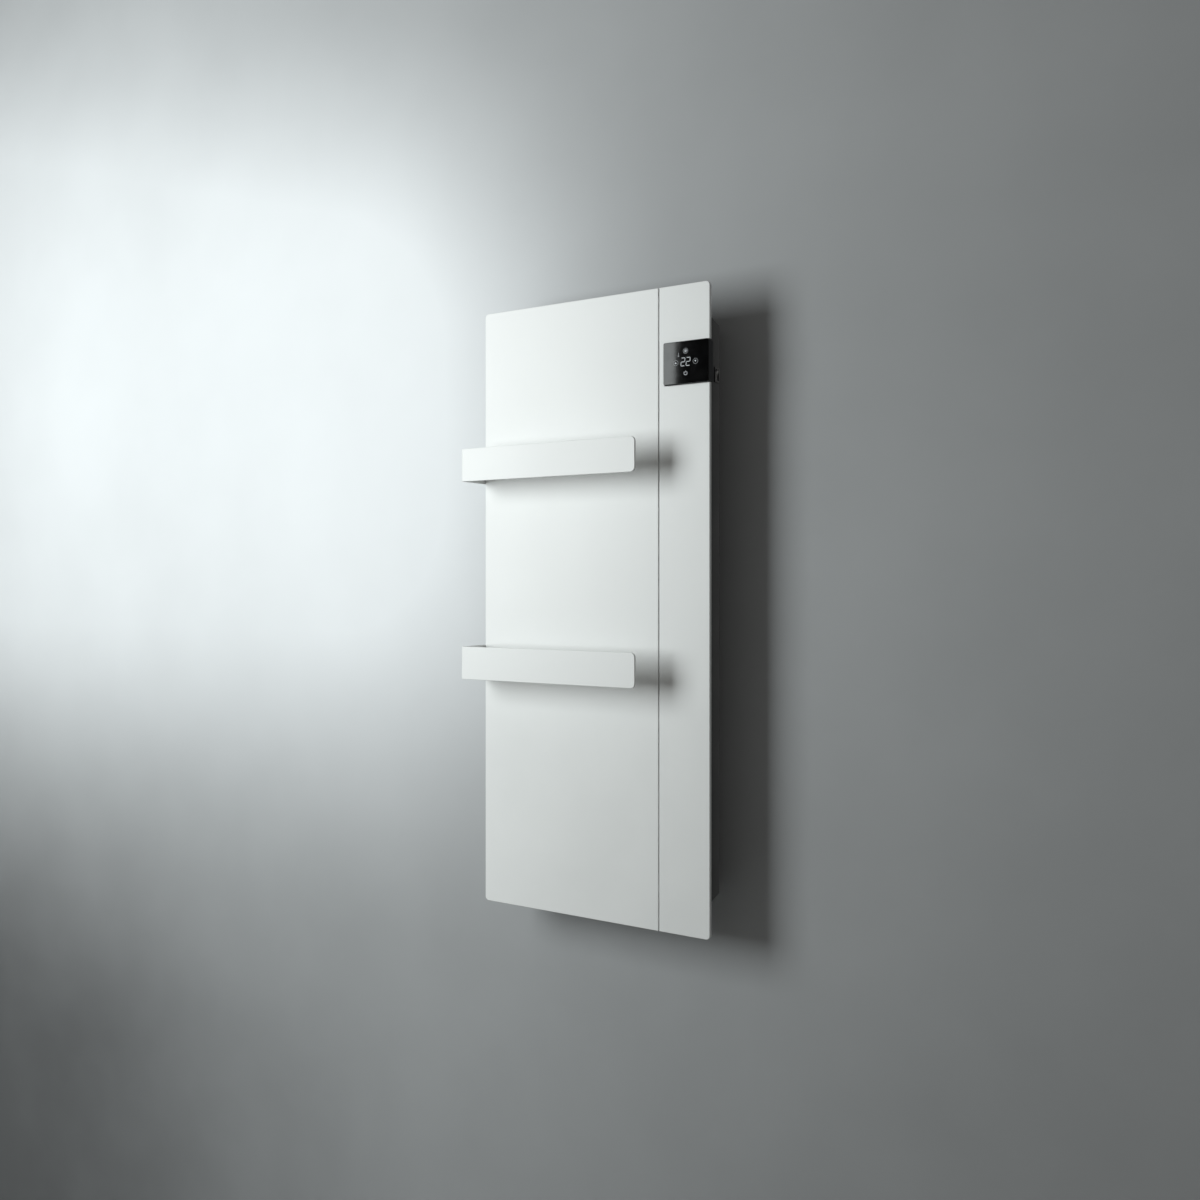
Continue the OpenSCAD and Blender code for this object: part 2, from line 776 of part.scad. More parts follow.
module display_module() color("black")
    block([display_x - display_half_w, case_front_y + display_gap, control_mid_z - display_half_h],
        [display_x + display_half_w, board_back_y - board_t, control_mid_z + display_half_h]);

module touch_springs() color("gold") {
    for (p = key_places) difference() {
        rod_y(display_x + p[0], control_mid_z + p[1], case_front_y, board_back_y - board_t, key_r);
        rod_y(display_x + p[0], control_mid_z + p[1], case_front_y - over, board_back_y, key_r - key_wall);
    }
}

module strap_screw_places() {
    for (s = [-1, 1])
        translate([strap_mid_x, 0, control_mid_z + s * (strap_leg + strap_t + strap_foot / 2)]) children();
}

module control_strap() color("silver") {
    difference() {
        profile_along_x(strap_x0, strap_x1) translate([0, control_mid_z]) {
            rect([case_back_y, -strap_leg - strap_t], [case_back_y + strap_t, strap_leg + strap_t]);
            for (s = [0, 1]) mirror([0, s]) {
                rect([carrier_back_y, strap_leg], [case_back_y + strap_t, strap_leg + strap_t]);
                rect([carrier_back_y, strap_leg],
                    [carrier_back_y + strap_t, strap_leg + strap_t + strap_foot]);
            }
        }
        for (z = strap_bore_z)
            rod_y(strap_mid_x, z, case_back_y - over, case_back_y + strap_t + over, strap_hole_r);
        strap_screw_places()
            rod_y(0, 0, carrier_back_y - over, carrier_back_y + strap_t + over, strap_screw_r + stud_gap);
    }
}

module small_screw(x, z, seat_y, reach, r) {
    // A pan-head screw whose head lies on the plane seat_y and whose shank points forward
    head_t = 1.8;
    rod_y(x, z, seat_y - reach, seat_y + head_t / 2, r);
    rod_y(x, z, seat_y, seat_y + head_t, r * 2);
}

module control_screws() color("silver") {
    case_reach_in = 6;
    carrier_reach_in = 4;
    for (z = strap_bore_z) small_screw(strap_mid_x, z, case_back_y + strap_t, case_reach_in, boss_bore_r);
    strap_screw_places() small_screw(0, 0, carrier_back_y + strap_t, carrier_reach_in, strap_screw_r);
}

module switch_body() color("black") {
    difference() {
        union() {
            switch_box(0, housing_right - switch_depth, housing_right + bezel_t);
            switch_box(bezel_w, housing_right, housing_right + bezel_t);
        }
        block([housing_right - switch_pocket, switch_y - switch_open_w / 2, switch_z - switch_open_h / 2],
            [housing_right + bezel_t + over, switch_y + switch_open_w / 2, switch_z + switch_open_h / 2]);
        translate([pivot_x, switch_y, switch_z]) rotate([90, 0, 0])
            cylinder(r = pivot_r + pin_gap, h = switch_open_w + 2 * pivot_seat, center = true);
    }
    for (z = [-blade_pitch, 0, blade_pitch])
        block([blade_x, switch_y - blade_half_w, switch_z + z - blade_half_t],
            [housing_right - switch_depth, switch_y + blade_half_w, switch_z + z + blade_half_t]);
}

module switch_rocker() color("black") {
    // The face is dished to each side of a low ridge over the pivot, and its two ends stand up
    half = rocker_h / 2;
    translate([pivot_x, switch_y, switch_z]) rotate([0, rocker_tilt, 0]) {
        translate([0, rocker_w / 2, 0]) rotate([90, 0, 0]) linear_extrude(rocker_w)
            polygon([[-6, -3.5], [-6, 3.5], [-1.5, half], [3.6, half], [1.9, half * 0.45], [1.4, 0],
                [1.9, -half * 0.45], [3.6, -half], [-1.5, -half]]);
        rotate([90, 0, 0])
            cylinder(r = pivot_r, h = switch_open_w + 2 * (pivot_seat - pivot_end_gap), center = true);
    }
}

// Electronics on the housing's floor
pillar_h = 10;
board_w = 80;
board_h = 140;
board_margin = 15;
board_below_rail = 40;
board_x0 = lead_x[1] - board_margin;
board_x1 = board_x0 + board_w;
board_z1 = rail_z - board_below_rail;
board_z0 = board_z1 - board_h;
pcb_y = housing_floor_y - pillar_h;
pillar_inset = 6;
pillar_r = 3.5;
pillar_bore_r = 1.3;
board_hole_r = 1.6;
board_screw_reach = 6;
parts_y = pcb_y - board_t;

module pillar_places() {
    for (x = [board_x0 + pillar_inset, board_x1 - pillar_inset],
            z = [board_z0 + pillar_inset, board_z1 - pillar_inset])
        translate([x, 0, z]) children();
}

module power_board() color("darkgreen") {
    difference() {
        block([board_x0, parts_y, board_z0], [board_x1, pcb_y, board_z1]);
        pillar_places() rod_y(0, 0, parts_y - over, pcb_y + over, board_hole_r);
    }
}

module board_pillars() color("white") {
    pillar_places() difference() {
        rod_y(0, 0, pcb_y, housing_floor_y, pillar_r);
        rod_y(0, 0, pcb_y - over, pcb_y + board_screw_reach + over, pillar_bore_r);
    }
}

module board_screws() color("silver") {
    pillar_places() {
        rod_y(0, 0, parts_y, pcb_y + board_screw_reach, pillar_bore_r - pin_gap);
        rod_y(0, 0, parts_y - 1.6, parts_y, 2.6);
    }
}

module on_board(x, z) {
    // Puts a part on the board's front, x and z from the board's lower left corner
    translate([board_x0 + x, parts_y, board_z0 + z]) children();
}

module relay() color("navy") on_board(14, 20) block([0, -16, 0], [13, 0, 29]);

module transformer() color("goldenrod") on_board(46, 22) {
    // Two legs of the core, with the wound bobbin between them
    core_w = 28;
    core_h = 8;
    bobbin_h = 14;
    rise = 20;
    for (z = [0, core_h + bobbin_h]) block([0, -rise, z], [core_w, 0, z + core_h]);
    block([4, 3 - rise, core_h], [core_w - 4, -3, core_h + bobbin_h]);
}

module capacitor() color("saddlebrown") on_board(30, 86) rod_y(0, 0, -18, 0, 7);

block_x = housing_right - 40;
block_z = bottom + 110;
block_half_w = 19;
block_half_h = 14;
block_t = 18;
pole_pitch = 12;
module terminal_block() color("ivory") {
    screw_well_r = 2.6;
    screw_well = 6;
    face_y = housing_floor_y - block_t;
    difference() {
        block([block_x - block_half_w, face_y, block_z - block_half_h],
            [block_x + block_half_w, housing_floor_y, block_z + block_half_h]);
        for (i = [-1:1], s = [-1, 1])
            rod_y(block_x + i * pole_pitch, block_z + s * block_half_h / 2, face_y - over,
                face_y + screw_well, screw_well_r);
    }
}

cutout_tab_x = 3;
cutout_tab_y = carrier_back_y + 16;
module thermal_cutout() color("silver") {
    // A bimetal disc under a cap, with two tabs that take the leads
    disc_y = carrier_back_y + 5;
    cap_y = disc_y + 4;
    rod_y(0, lead_z, carrier_back_y, disc_y, 9);
    rod_y(0, lead_z, disc_y, cap_y, 6);
    for (s = [-1, 1])
        block([s * cutout_tab_x - blade_half_t, cap_y, lead_z - blade_half_w],
            [s * cutout_tab_x + blade_half_t, cutout_tab_y, lead_z + blade_half_w]);
}

sensor_x = housing_right - 66;
sensor_z = bottom + 84;
sensor_half_h = 8;
module room_sensor() color("black") {
    // A small holder on the housing's floor, with the sensor's tip below it in the air stream
    half_w = 6;
    rise = 10;
    tip_r = 2.5;
    tip_len = 6;
    block([sensor_x - half_w, housing_floor_y - rise, sensor_z - sensor_half_h],
        [sensor_x + half_w, housing_floor_y, sensor_z + sensor_half_h]);
    translate([sensor_x, housing_floor_y - rise / 2, sensor_z - sensor_half_h - tip_len])
        cylinder(r = tip_r, h = tip_len);
}

// Convector element low in the housing
element_z = -rail_z - 90;
element_y = vent_mid_y + 4;
pin_r = 4;
tube_r = 7;
fin_reach = 25;
fin_turns = [35, 90, 145, 215, 270, 325];
fin_cuts = 11;
fin_cut_w = 3;
fin_root_r = 12;
hanger_t = 2;
hanger_half_h = 18;
hanger_top = 10;
hanger_x = element_len / 2 + 6;

module convector_element() color("silver") {
    difference() {
        union() {
            profile_along_x(-element_len / 2, element_len / 2) translate([element_y, element_z]) {
                circle(tube_r);
                for (turn = fin_turns) rotate(turn) rect([0, -fin_t / 2], [fin_reach, fin_t / 2]);
            }
            rod_x(-hanger_x - 6, hanger_x + 6, element_y, element_z, pin_r);
        }
        for (i = [1:fin_cuts])
            translate([element_len * (i / (fin_cuts + 1) - 1 / 2), element_y, element_z])
                rotate([0, 90, 0]) difference() {
                    cylinder(r = fin_reach + over, h = fin_cut_w, center = true);
                    cylinder(r = fin_root_r, h = fin_cut_w + over, center = true);
                }
    }
}

module element_brackets() color("lightgray") {
    // An angle at each end: its upright carries the element's pin, its foot lies on the floor
    foot_w = 18;
    for (s = [-1, 1]) difference() {
        union() {
            block([s * hanger_x - hanger_t / 2, element_y - hanger_top, element_z - hanger_half_h],
                [s * hanger_x + hanger_t / 2, housing_floor_y, element_z + hanger_half_h]);
            foot_x = s * (hanger_x + (foot_w - hanger_t) / 2);
            block([foot_x - foot_w / 2, housing_floor_y - hanger_t, element_z - hanger_half_h],
                [foot_x + foot_w / 2, housing_floor_y, element_z + hanger_half_h]);
        }
        rod_x(s * hanger_x - hanger_t, s * hanger_x + hanger_t, element_y, element_z, pin_r + pin_gap);
    }
}

shield_end_gap = 5;
shield_half_x = element_len / 2 - shield_end_gap;
module heat_shield() color("silver") {
    // A bright sheet that stands off the floor behind the element on two flanged legs
    sheet = 1;
    rise = 9;
    half = 50;
    flange = 10;
    drop = 4;
    web_y = housing_floor_y - rise;
    profile_along_x(-shield_half_x, shield_half_x) translate([0, element_z - drop]) {
        rect([web_y, -half], [web_y + sheet, half]);
        for (s = [0, 1]) mirror([0, s]) {
            rect([web_y, half - sheet], [housing_floor_y, half]);
            rect([housing_floor_y - sheet, half - sheet], [housing_floor_y, half + flange]);
        }
    }
}

// Cable inlet: body through the wall, cap outside, locknut inside
module on_gland() on_slope(-1, gland_x, gland_y) children();

module gland_body() color("dimgray") {
    seat = wall_shift / 2;
    inside_len = 8;
    start = -seat - inside_len;
    on_gland() difference() {
        union() {
            translate([0, 0, start]) cylinder(r = gland_thread_r, h = gland_thread_top - start);
            translate([0, 0, seat]) cylinder(d = gland_hex / cos(30), h = gland_flange_t, $fn = 6);
        }
        translate([0, 0, start - over]) cylinder(r = inlet_r, h = gland_thread_top - start + 2 * over);
    }
}

module gland_cap() color("dimgray") {
    cap_wall = 1.8;
    lip = 2.2;
    cap_r = gland_thread_r + cap_wall;
    seat = wall_shift / 2 + gland_flange_t;
    shoulder = seat + 9;
    end = seat + 13;
    on_gland() rotate_extrude() polygon([[gland_thread_r + pin_gap, seat], [cap_r, seat],
        [cap_r, shoulder], [inlet_r + lip, end], [inlet_r, end], [inlet_r, gland_thread_top],
        [gland_thread_r + pin_gap, gland_thread_top]]);
}

module gland_locknut() color("dimgray") {
    nut = 5;
    start = -wall_shift / 2 - nut;
    on_gland() difference() {
        translate([0, 0, start]) cylinder(d = gland_hex / cos(30), h = nut, $fn = 6);
        translate([0, 0, start - over]) cylinder(r = gland_thread_r + pin_gap, h = nut + 2 * over);
    }
}

// Leads inside the housing: each ends on the terminal or the board that it serves
power_r = 2.6;
power_bend = 6;
lead_bend = 6;
tight_bend = 3;
sensor_r = 1;
sensor_bend = 4;
entry_margin = 10;
board_entry_z = board_z1 - entry_margin;

module switch_lead() color("white")
    lead([[block_x, switch_y, block_z + block_half_h], [block_x, switch_y, switch_z - blade_pitch],
        [blade_x, switch_y, switch_z - blade_pitch]], power_r, [power_bend]);

module supply_lead() color("white") {
    x = board_x1 - 30;
    y = parts_y - 12;
    lead([[blade_x, switch_y, switch_z + blade_pitch], [x, switch_y, switch_z + blade_pitch],
        [x, y, switch_z + blade_pitch], [x, y, board_entry_z], [x, parts_y, board_entry_z]],
        power_r, [power_bend, tight_bend, power_bend]);
}

module heater_leads() color("white") {
    // Board to the cable's end, board to the cut-out, and cut-out to the cable's start
    far_x = lead_x[1] - 8;
    lead([[lead_x[1], parts_y, board_entry_z], [lead_x[1], lead_y, board_entry_z],
        [lead_x[1], lead_y, lead_z], [lead_x[1], tail_y, lead_z]], lead_r, [lead_bend, lead_bend]);
    lead([[far_x, parts_y, board_entry_z], [far_x, lead_y, board_entry_z], [far_x, lead_y, lead_z],
        [cutout_tab_x, lead_y, lead_z], [cutout_tab_x, cutout_tab_y, lead_z]],
        lead_r, [lead_bend, lead_bend, lead_bend]);
    lead([[-cutout_tab_x, cutout_tab_y, lead_z], [-cutout_tab_x, lead_y, lead_z],
        [lead_x[0], lead_y, lead_z], [lead_x[0], tail_y, lead_z]], lead_r, [lead_bend, lead_bend]);
}

module display_lead() color("white") {
    x = board_x1 - 12;
    y = lead_y - 12;
    lead([[case_hole_x, board_back_y, control_mid_z], [case_hole_x, y, control_mid_z],
        [case_hole_x, y, board_entry_z], [x, y, board_entry_z], [x, parts_y, board_entry_z]],
        lead_r, [lead_bend, lead_bend, lead_bend]);
}

module sensor_lead() color("white") {
    back_y = housing_floor_y - 6;
    front_y = parts_y - 8;
    low_z = board_z0 - 12;
    end_z = board_z0 + 8;
    lead([[sensor_x, back_y, sensor_z + sensor_half_h], [sensor_x, back_y, low_z],
        [sensor_x, front_y, low_z], [sensor_x, front_y, end_z], [sensor_x, parts_y, end_z]],
        sensor_r, [sensor_bend, sensor_bend, sensor_bend]);
}

// Wall bracket pieces
module rail(side) color("lightgray") {
    half = rail_h / 2;
    shoulder = half - flange_flat;
    difference() {
        union() {
            profile_along_x(-rail_len / 2, rail_len / 2) translate([0, side * rail_z]) {
                rect([-rail_rise, -shoulder], [bracket_sheet - rail_rise, shoulder]);
                for (s = [0, 1]) mirror([0, s]) {
                    rect([-rail_rise, shoulder - bracket_sheet], [0, shoulder]);
                    rect([-bracket_sheet, shoulder - bracket_sheet], [0, half]);
                }
            }
            for (x = [-hook_spacing / 2, hook_spacing / 2]) hook(x, side * rail_z);
        }
        for (x = [-screw_spacing_x / 2, screw_spacing_x / 2])
            rod_y(x, side * screw_spacing_z / 2, -bracket_sheet - over, over, screw_hole_r);
        spine_rivet_places() rod_y(0, 0, -3 * bracket_sheet, over, rivet_r);
    }
}

module hook(x, z) {
    // A neck through the housing's slot, with a lip that stands up behind the hang plate
    lip_y = housing_floor_y - hang_plate_t - lip_gap;
    block([x - hook_w / 2, lip_y - lip_t, z + hook_top - hook_neck],
        [x + hook_w / 2, bracket_sheet - rail_rise, z + hook_top]);
    block([x - hook_w / 2, lip_y - lip_t, z + hook_top - hook_neck],
        [x + hook_w / 2, lip_y, z + hook_top + hook_lip]);
}

spine_w = 60;
spine_end_gap = 1;
spine_hole_r = 9;
rivet_r = 2.4;
rivet_head_r = 4.32;
rivet_head_t = 1.2;
module spine_rivet_places() {
    for (x = [-spine_w / 4, spine_w / 4], s = [-1, 1])
        translate([x, 0, s * (rail_z - rail_h / 2 + flange_flat / 2)]) children();
}

module bracket_upper_rail() rail(1);
module bracket_lower_rail() rail(-1);

module bracket_spine() color("lightgray") {
    flat_end = rail_z - rail_h / 2 - spine_end_gap;
    tab_end = flat_end + flange_flat - bracket_sheet;
    difference() {
        profile_along_x(-spine_w / 2, spine_w / 2) {
            rect([-bracket_sheet, -flat_end], [0, flat_end]);
            for (s = [0, 1]) mirror([0, s]) {
                rect([-2 * bracket_sheet, flat_end - bracket_sheet], [0, flat_end]);
                rect([-2 * bracket_sheet, flat_end - bracket_sheet], [-bracket_sheet, tab_end]);
            }
        }
        spine_rivet_places() rod_y(0, 0, -3 * bracket_sheet, over, rivet_r);
        for (i = [-1:1]) rod_y(0, i * flat_end * 0.6, -2 * bracket_sheet, over, spine_hole_r);
    }
}

module bracket_rivets() color("silver") {
    spine_rivet_places() {
        rod_y(0, 0, -2 * bracket_sheet, 0, rivet_r);
        rod_y(0, 0, -2 * bracket_sheet - rivet_head_t, -2 * bracket_sheet, rivet_head_r);
    }
}

bracket_upper_rail();
bracket_lower_rail();
bracket_spine();
bracket_rivets();
main_panel();
side_panel();
panel_studs();
panel_nuts();
carrier_plate();
heating_plate();
heating_cable();
cable_combs();
cable_grommets();
insulation_mat();
rear_housing();
hang_plates();
housing_screws();
wall_buffers();
upper_towel_bar();
lower_towel_bar();
bar_pads();
bar_bolts();
bar_clinch_nuts();
control_case();
control_glass();
display_board();
display_module();
touch_springs();
control_strap();
control_screws();
switch_body();
switch_rocker();
power_board();
board_pillars();
board_screws();
relay();
transformer();
capacitor();
terminal_block();
thermal_cutout();
room_sensor();
convector_element();
element_brackets();
heat_shield();
gland_body();
gland_cap();
gland_locknut();
switch_lead();
supply_lead();
heater_leads();
display_lead();
sensor_lead();
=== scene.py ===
import json
import math

import bmesh
import bpy
from mathutils import Matrix, Vector, noise


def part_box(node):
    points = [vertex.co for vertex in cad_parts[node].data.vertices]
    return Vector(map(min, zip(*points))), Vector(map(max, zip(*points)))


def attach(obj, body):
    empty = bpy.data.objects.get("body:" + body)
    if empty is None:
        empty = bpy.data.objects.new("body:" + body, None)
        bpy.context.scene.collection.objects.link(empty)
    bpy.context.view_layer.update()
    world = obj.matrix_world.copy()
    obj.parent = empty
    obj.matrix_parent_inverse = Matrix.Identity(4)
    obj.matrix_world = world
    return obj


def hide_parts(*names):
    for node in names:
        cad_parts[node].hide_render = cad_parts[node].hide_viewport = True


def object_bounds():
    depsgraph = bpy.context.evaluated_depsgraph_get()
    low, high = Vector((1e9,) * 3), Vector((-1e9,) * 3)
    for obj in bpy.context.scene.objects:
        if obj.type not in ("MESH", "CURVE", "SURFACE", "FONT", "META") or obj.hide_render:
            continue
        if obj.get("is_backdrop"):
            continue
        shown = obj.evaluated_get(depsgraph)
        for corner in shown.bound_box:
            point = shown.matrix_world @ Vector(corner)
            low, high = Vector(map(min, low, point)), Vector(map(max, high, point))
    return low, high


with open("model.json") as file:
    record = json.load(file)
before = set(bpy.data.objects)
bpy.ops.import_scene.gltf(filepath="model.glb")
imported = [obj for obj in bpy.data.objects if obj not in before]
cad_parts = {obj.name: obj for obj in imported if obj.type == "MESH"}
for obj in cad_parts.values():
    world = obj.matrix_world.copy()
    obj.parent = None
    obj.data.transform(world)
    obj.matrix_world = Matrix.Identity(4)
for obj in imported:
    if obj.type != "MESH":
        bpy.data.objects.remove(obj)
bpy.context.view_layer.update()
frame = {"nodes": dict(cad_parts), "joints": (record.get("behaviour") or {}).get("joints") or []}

# Wall bracket: the upper and the lower rail
# Galvanised sheet, folded to a top hat with two hooks. They are screwed to the wall first, and
# the heater hangs on their hooks. Punching and folding leave every edge slightly broken.
mm = 0.001
weld_distance = 0.002 * mm
flat_turn = math.radians(0.5)
sharp_turn = math.radians(30)
crease = math.radians(50)
sheet_edge = 0.3 * mm
broad_face = 1.5 * mm
least_face = 0.01 * mm
worn_bend = 900
spared_share = 0.35
bump_strength = 0.6


def joined_solid(node):
    """A node's solid with its loose triangles joined and its flat faces made whole"""
    bm = bmesh.new()
    bm.from_mesh(frame["nodes"][node].data)
    bmesh.ops.remove_doubles(bm, verts=bm.verts, dist=weld_distance)
    bmesh.ops.dissolve_limit(bm, angle_limit=flat_turn, verts=bm.verts, edges=bm.edges)
    return bm


def break_edges(bm, width, steps=2, chosen=lambda edge: True):
    """Rounds the sharp edges that are chosen"""
    sharp = [e for e in bm.edges if e.calc_face_angle(0.0) > sharp_turn and chosen(e)]
    bmesh.ops.bevel(bm, geom=sharp, offset=width, segments=steps, profile=0.5, affect="EDGES",
                    clamp_overlap=False)


def shown_mesh(name, bm):
    """Puts a bmesh into the scene as an object at the origin"""
    mesh = bpy.data.meshes.new(name)
    bm.to_mesh(mesh)
    bm.free()
    piece = bpy.data.objects.new(name, mesh)
    bpy.context.scene.collection.objects.link(piece)
    return piece


def apply_modifiers(piece):
    """Turns a piece and its modifiers into a plain mesh"""
    bpy.context.view_layer.update()
    seen = piece.evaluated_get(bpy.context.evaluated_depsgraph_get())
    mesh = bpy.data.meshes.new_from_object(seen)
    piece.modifiers.clear()
    piece.data = mesh


def mark_worn_edges(mesh):
    """Stores how tightly each point is rounded outwards: 0 on the flat, 1 on a broken edge"""
    bm = bmesh.new()
    bm.from_mesh(mesh)
    widths = [f.calc_area() / max(e.calc_length() for e in f.edges) for f in bm.faces]
    tightness = [0.0] * len(bm.verts)
    for e in bm.edges:
        if e.is_manifold and e.is_convex:
            across = sum(widths[f.index] for f in e.link_faces) / 2
            bend = e.calc_face_angle(0.0) / max(across, least_face)
            for v in e.verts:
                if max(widths[f.index] for f in v.link_faces) < broad_face:
                    tightness[v.index] = max(tightness[v.index], bend)
    bm.free()
    edge = mesh.attributes.new("edge", "FLOAT", "POINT")
    wear = [min(1.0, max(0.0, bend / worn_bend - spared_share)) for bend in tightness]
    edge.data.foreach_set("value", wear)


def settle(piece, material, body, slot, *nodes):
    """Finishes a piece: its shading, its material, the body it rides on and the nodes it stands for"""
    piece.data.shade_smooth()
    piece.data.set_sharp_from_angle(angle=crease)
    normals = piece.modifiers.new("flat faces stay flat", "WEIGHTED_NORMAL")
    normals.keep_sharp = True
    apply_modifiers(piece)
    mark_worn_edges(piece.data)
    piece.data.materials.clear()
    piece.data.materials.append(material)
    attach(piece, body)
    if nodes:
        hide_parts(*nodes)
    return piece


def eased_node(node, name, material, slot, width=sheet_edge, steps=2, chosen=lambda edge: True,
               body="heater"):
    """Shows a node's own solid with its sharp edges rounded"""
    bm = joined_solid(node)
    break_edges(bm, width, steps, chosen)
    settle(shown_mesh(name, bm), material, body, slot, node)


def group_tree(kind, name, inputs, outputs):
    """A node group with named sockets, and its input and output nodes"""
    tree = bpy.data.node_groups.new(name, kind)
    for label, socket, value in inputs:
        made = tree.interface.new_socket(name=label, in_out="INPUT", socket_type=socket)
        if value is not None:
            made.default_value = value
    for label, socket in outputs:
        tree.interface.new_socket(name=label, in_out="OUTPUT", socket_type=socket)
    return tree, tree.nodes.new("NodeGroupInput").outputs, tree.nodes.new("NodeGroupOutput").inputs


def surface_group(name, *more, **scales):
    """A shader group for a finish: its scales go in, a tone and a height come out"""
    inputs = [(label, "NodeSocketVector" if isinstance(value, tuple) else "NodeSocketFloat", value)
              for label, value in scales.items()]
    outputs = [(label, "NodeSocketFloat") for label in ("Tone", "Height", *more)]
    return group_tree("ShaderNodeTree", name, inputs, outputs)


def put(tree, kind, inputs, **settings):
    """Adds a node, and gives each named input a value or a link"""
    node = tree.nodes.new(kind)
    for name, value in settings.items():
        setattr(node, name, value)
    for name, value in inputs.items():
        if isinstance(value, bpy.types.NodeSocket):
            tree.links.new(value, node.inputs[name])
        else:
            node.inputs[name].default_value = value
    return node


def feed(tree, sockets, **values):
    """Links values to named sockets"""
    for label, value in values.items():
        tree.links.new(value, sockets[label.replace("_", " ")])


def reckoned(tree, operation, *values):
    """The result of a Math node, such as MULTIPLY or MAXIMUM, on numbers"""
    return put(tree, "ShaderNodeMath", dict(enumerate(values)), operation=operation).outputs[0]


def mixed_value(tree, factor, low, high):
    """Mixes two numbers"""
    return put(tree, "ShaderNodeMix", {0: factor, 2: low, 3: high}, data_type="FLOAT").outputs[0]


def mixed_colour(tree, factor, one, other):
    """Mixes two colours"""
    return put(tree, "ShaderNodeMix", {0: factor, 6: one, 7: other}, data_type="RGBA").outputs[2]


def ranged(tree, value, low, high, to_low=0.0, to_high=1.0):
    """Maps a number from one range to another"""
    return put(tree, "ShaderNodeMapRange", {"Value": value, "From Min": low, "From Max": high,
                                            "To Min": to_low, "To Max": to_high}).outputs[0]


def noise_at(tree, vector, scale, detail=2.0):
    """Noise of so many cells to a metre"""
    return put(tree, "ShaderNodeTexNoise",
               {"Vector": vector, "Scale": scale, "Detail": detail}).outputs[0]


def object_place(tree, stretch=None):
    """The place on the object in metres, drawn out along an axis if asked"""
    place = tree.nodes.new("ShaderNodeTexCoord").outputs["Object"]
    if stretch is None:
        return place
    return put(tree, "ShaderNodeMapping", {"Vector": place, "Scale": stretch}).outputs[0]


worn_edge, wear_in, wear_out = group_tree(
    "ShaderNodeTree", "worn_edge", [("Amount", "NodeSocketFloat", 0.5)], [("Mask", "NodeSocketFloat")])
edge_value = put(worn_edge, "ShaderNodeAttribute", {}, attribute_name="edge").outputs["Fac"]
patches = ranged(worn_edge, noise_at(worn_edge, object_place(worn_edge), 160, 4), 0.35, 0.62)
touched = reckoned(worn_edge, "MULTIPLY", edge_value, patches)
feed(worn_edge, wear_out, Mask=reckoned(worn_edge, "MULTIPLY", touched, wear_in["Amount"]))


def finish(name, group, scales, dark, light, rough, depth, worn=None, wear=0.0, **fixed):
    """A material: tone and height from a group, roughness between two limits, and worn edges"""
    material = bpy.data.materials.new(name)
    material.use_nodes = True
    tree = material.node_tree
    shader = tree.nodes["Principled BSDF"]
    for label, value in fixed.items():
        shader.inputs[label.replace("_", " ")].default_value = value
    maps = put(tree, "ShaderNodeGroup", {}, node_tree=group)
    for label, value in scales.items():
        maps.inputs[label].default_value = value
    tone = maps.outputs["Tone"]
    colour = mixed_colour(tree, tone, (*dark, 1.0), (*light, 1.0))
    if worn:
        mask = put(tree, "ShaderNodeGroup", {}, node_tree=worn_edge)
        mask.inputs["Amount"].default_value = wear
        colour = mixed_colour(tree, mask.outputs["Mask"], colour, (*worn, 1.0))
    bump = put(tree, "ShaderNodeBump", {"Height": maps.outputs["Height"], "Distance": depth,
                                        "Strength": bump_strength})
    feed(tree, shader.inputs, Base_Color=colour, Roughness=ranged(tree, tone, 0.0, 1.0, *rough),
         Normal=bump.outputs[0])
    return material


spangle, spangle_in, spangle_out = surface_group("spangle", Crystals=90.0)
crystal = put(spangle, "ShaderNodeTexVoronoi",
              {"Vector": object_place(spangle), "Scale": spangle_in["Crystals"], "Randomness": 1.0})
facet = put(spangle, "ShaderNodeSeparateColor", {"Color": crystal.outputs["Color"]}).outputs[0]
scuffs = noise_at(spangle, object_place(spangle, (40, 40, 900)), 1.0, 3)
feed(spangle, spangle_out, Tone=mixed_value(spangle, 0.25, facet, scuffs),
     Height=mixed_value(spangle, 0.6, facet, scuffs))

galvanised = finish("galvanised_steel", spangle, {"Crystals": 110.0}, (0.44, 0.46, 0.48),
                    (0.68, 0.70, 0.72), (0.30, 0.52), 0.02 * mm, worn=(0.80, 0.81, 0.82), wear=0.7,
                    Metallic=1.0)

for side in ("upper", "lower"):
    eased_node(f"bracket_{side}_rail", f"{side}_bracket_rail", galvanised, "galvanised_steel",
               body="wall_bracket")

# Wall bracket: the spine
# A galvanised strip between the rails that keeps their spacing, lightened by three round holes.
# Its two offset tabs lie behind the rails' flanges.
eased_node("bracket_spine", "bracket_strip", galvanised, "galvanised_steel", body="wall_bracket")

# Wall bracket: the rivets
# Four zinc-plated blind rivets with domed heads join the spine to the rails.
# Their heads point away from the wall, so that the bracket lies flat on it.
rivet_dome = 1.2 * mm
rivet_reach = 4.0 * mm
rim_height = 0.42
brow_height = 0.78
brow_width = 0.86
crown_width = 0.52
arm_width = 0.24
each_turn = 2.4
forward_facing = math.radians(90)


def solids_of(node):
    """The box of each separate solid in a node"""
    bm = joined_solid(node)
    loose = set(bm.verts)
    boxes = []
    while loose:
        reached = [loose.pop()]
        for vert in reached:
            for edge in vert.link_edges:
                other = edge.other_vert(vert)
                if other in loose:
                    loose.remove(other)
                    reached.append(other)
        places = [v.co.copy() for v in reached]
        boxes.append((Vector(map(min, *places)), Vector(map(max, *places))))
    bm.free()
    return sorted(boxes, key=lambda box: tuple(round(c, 5) for c in box[0]))


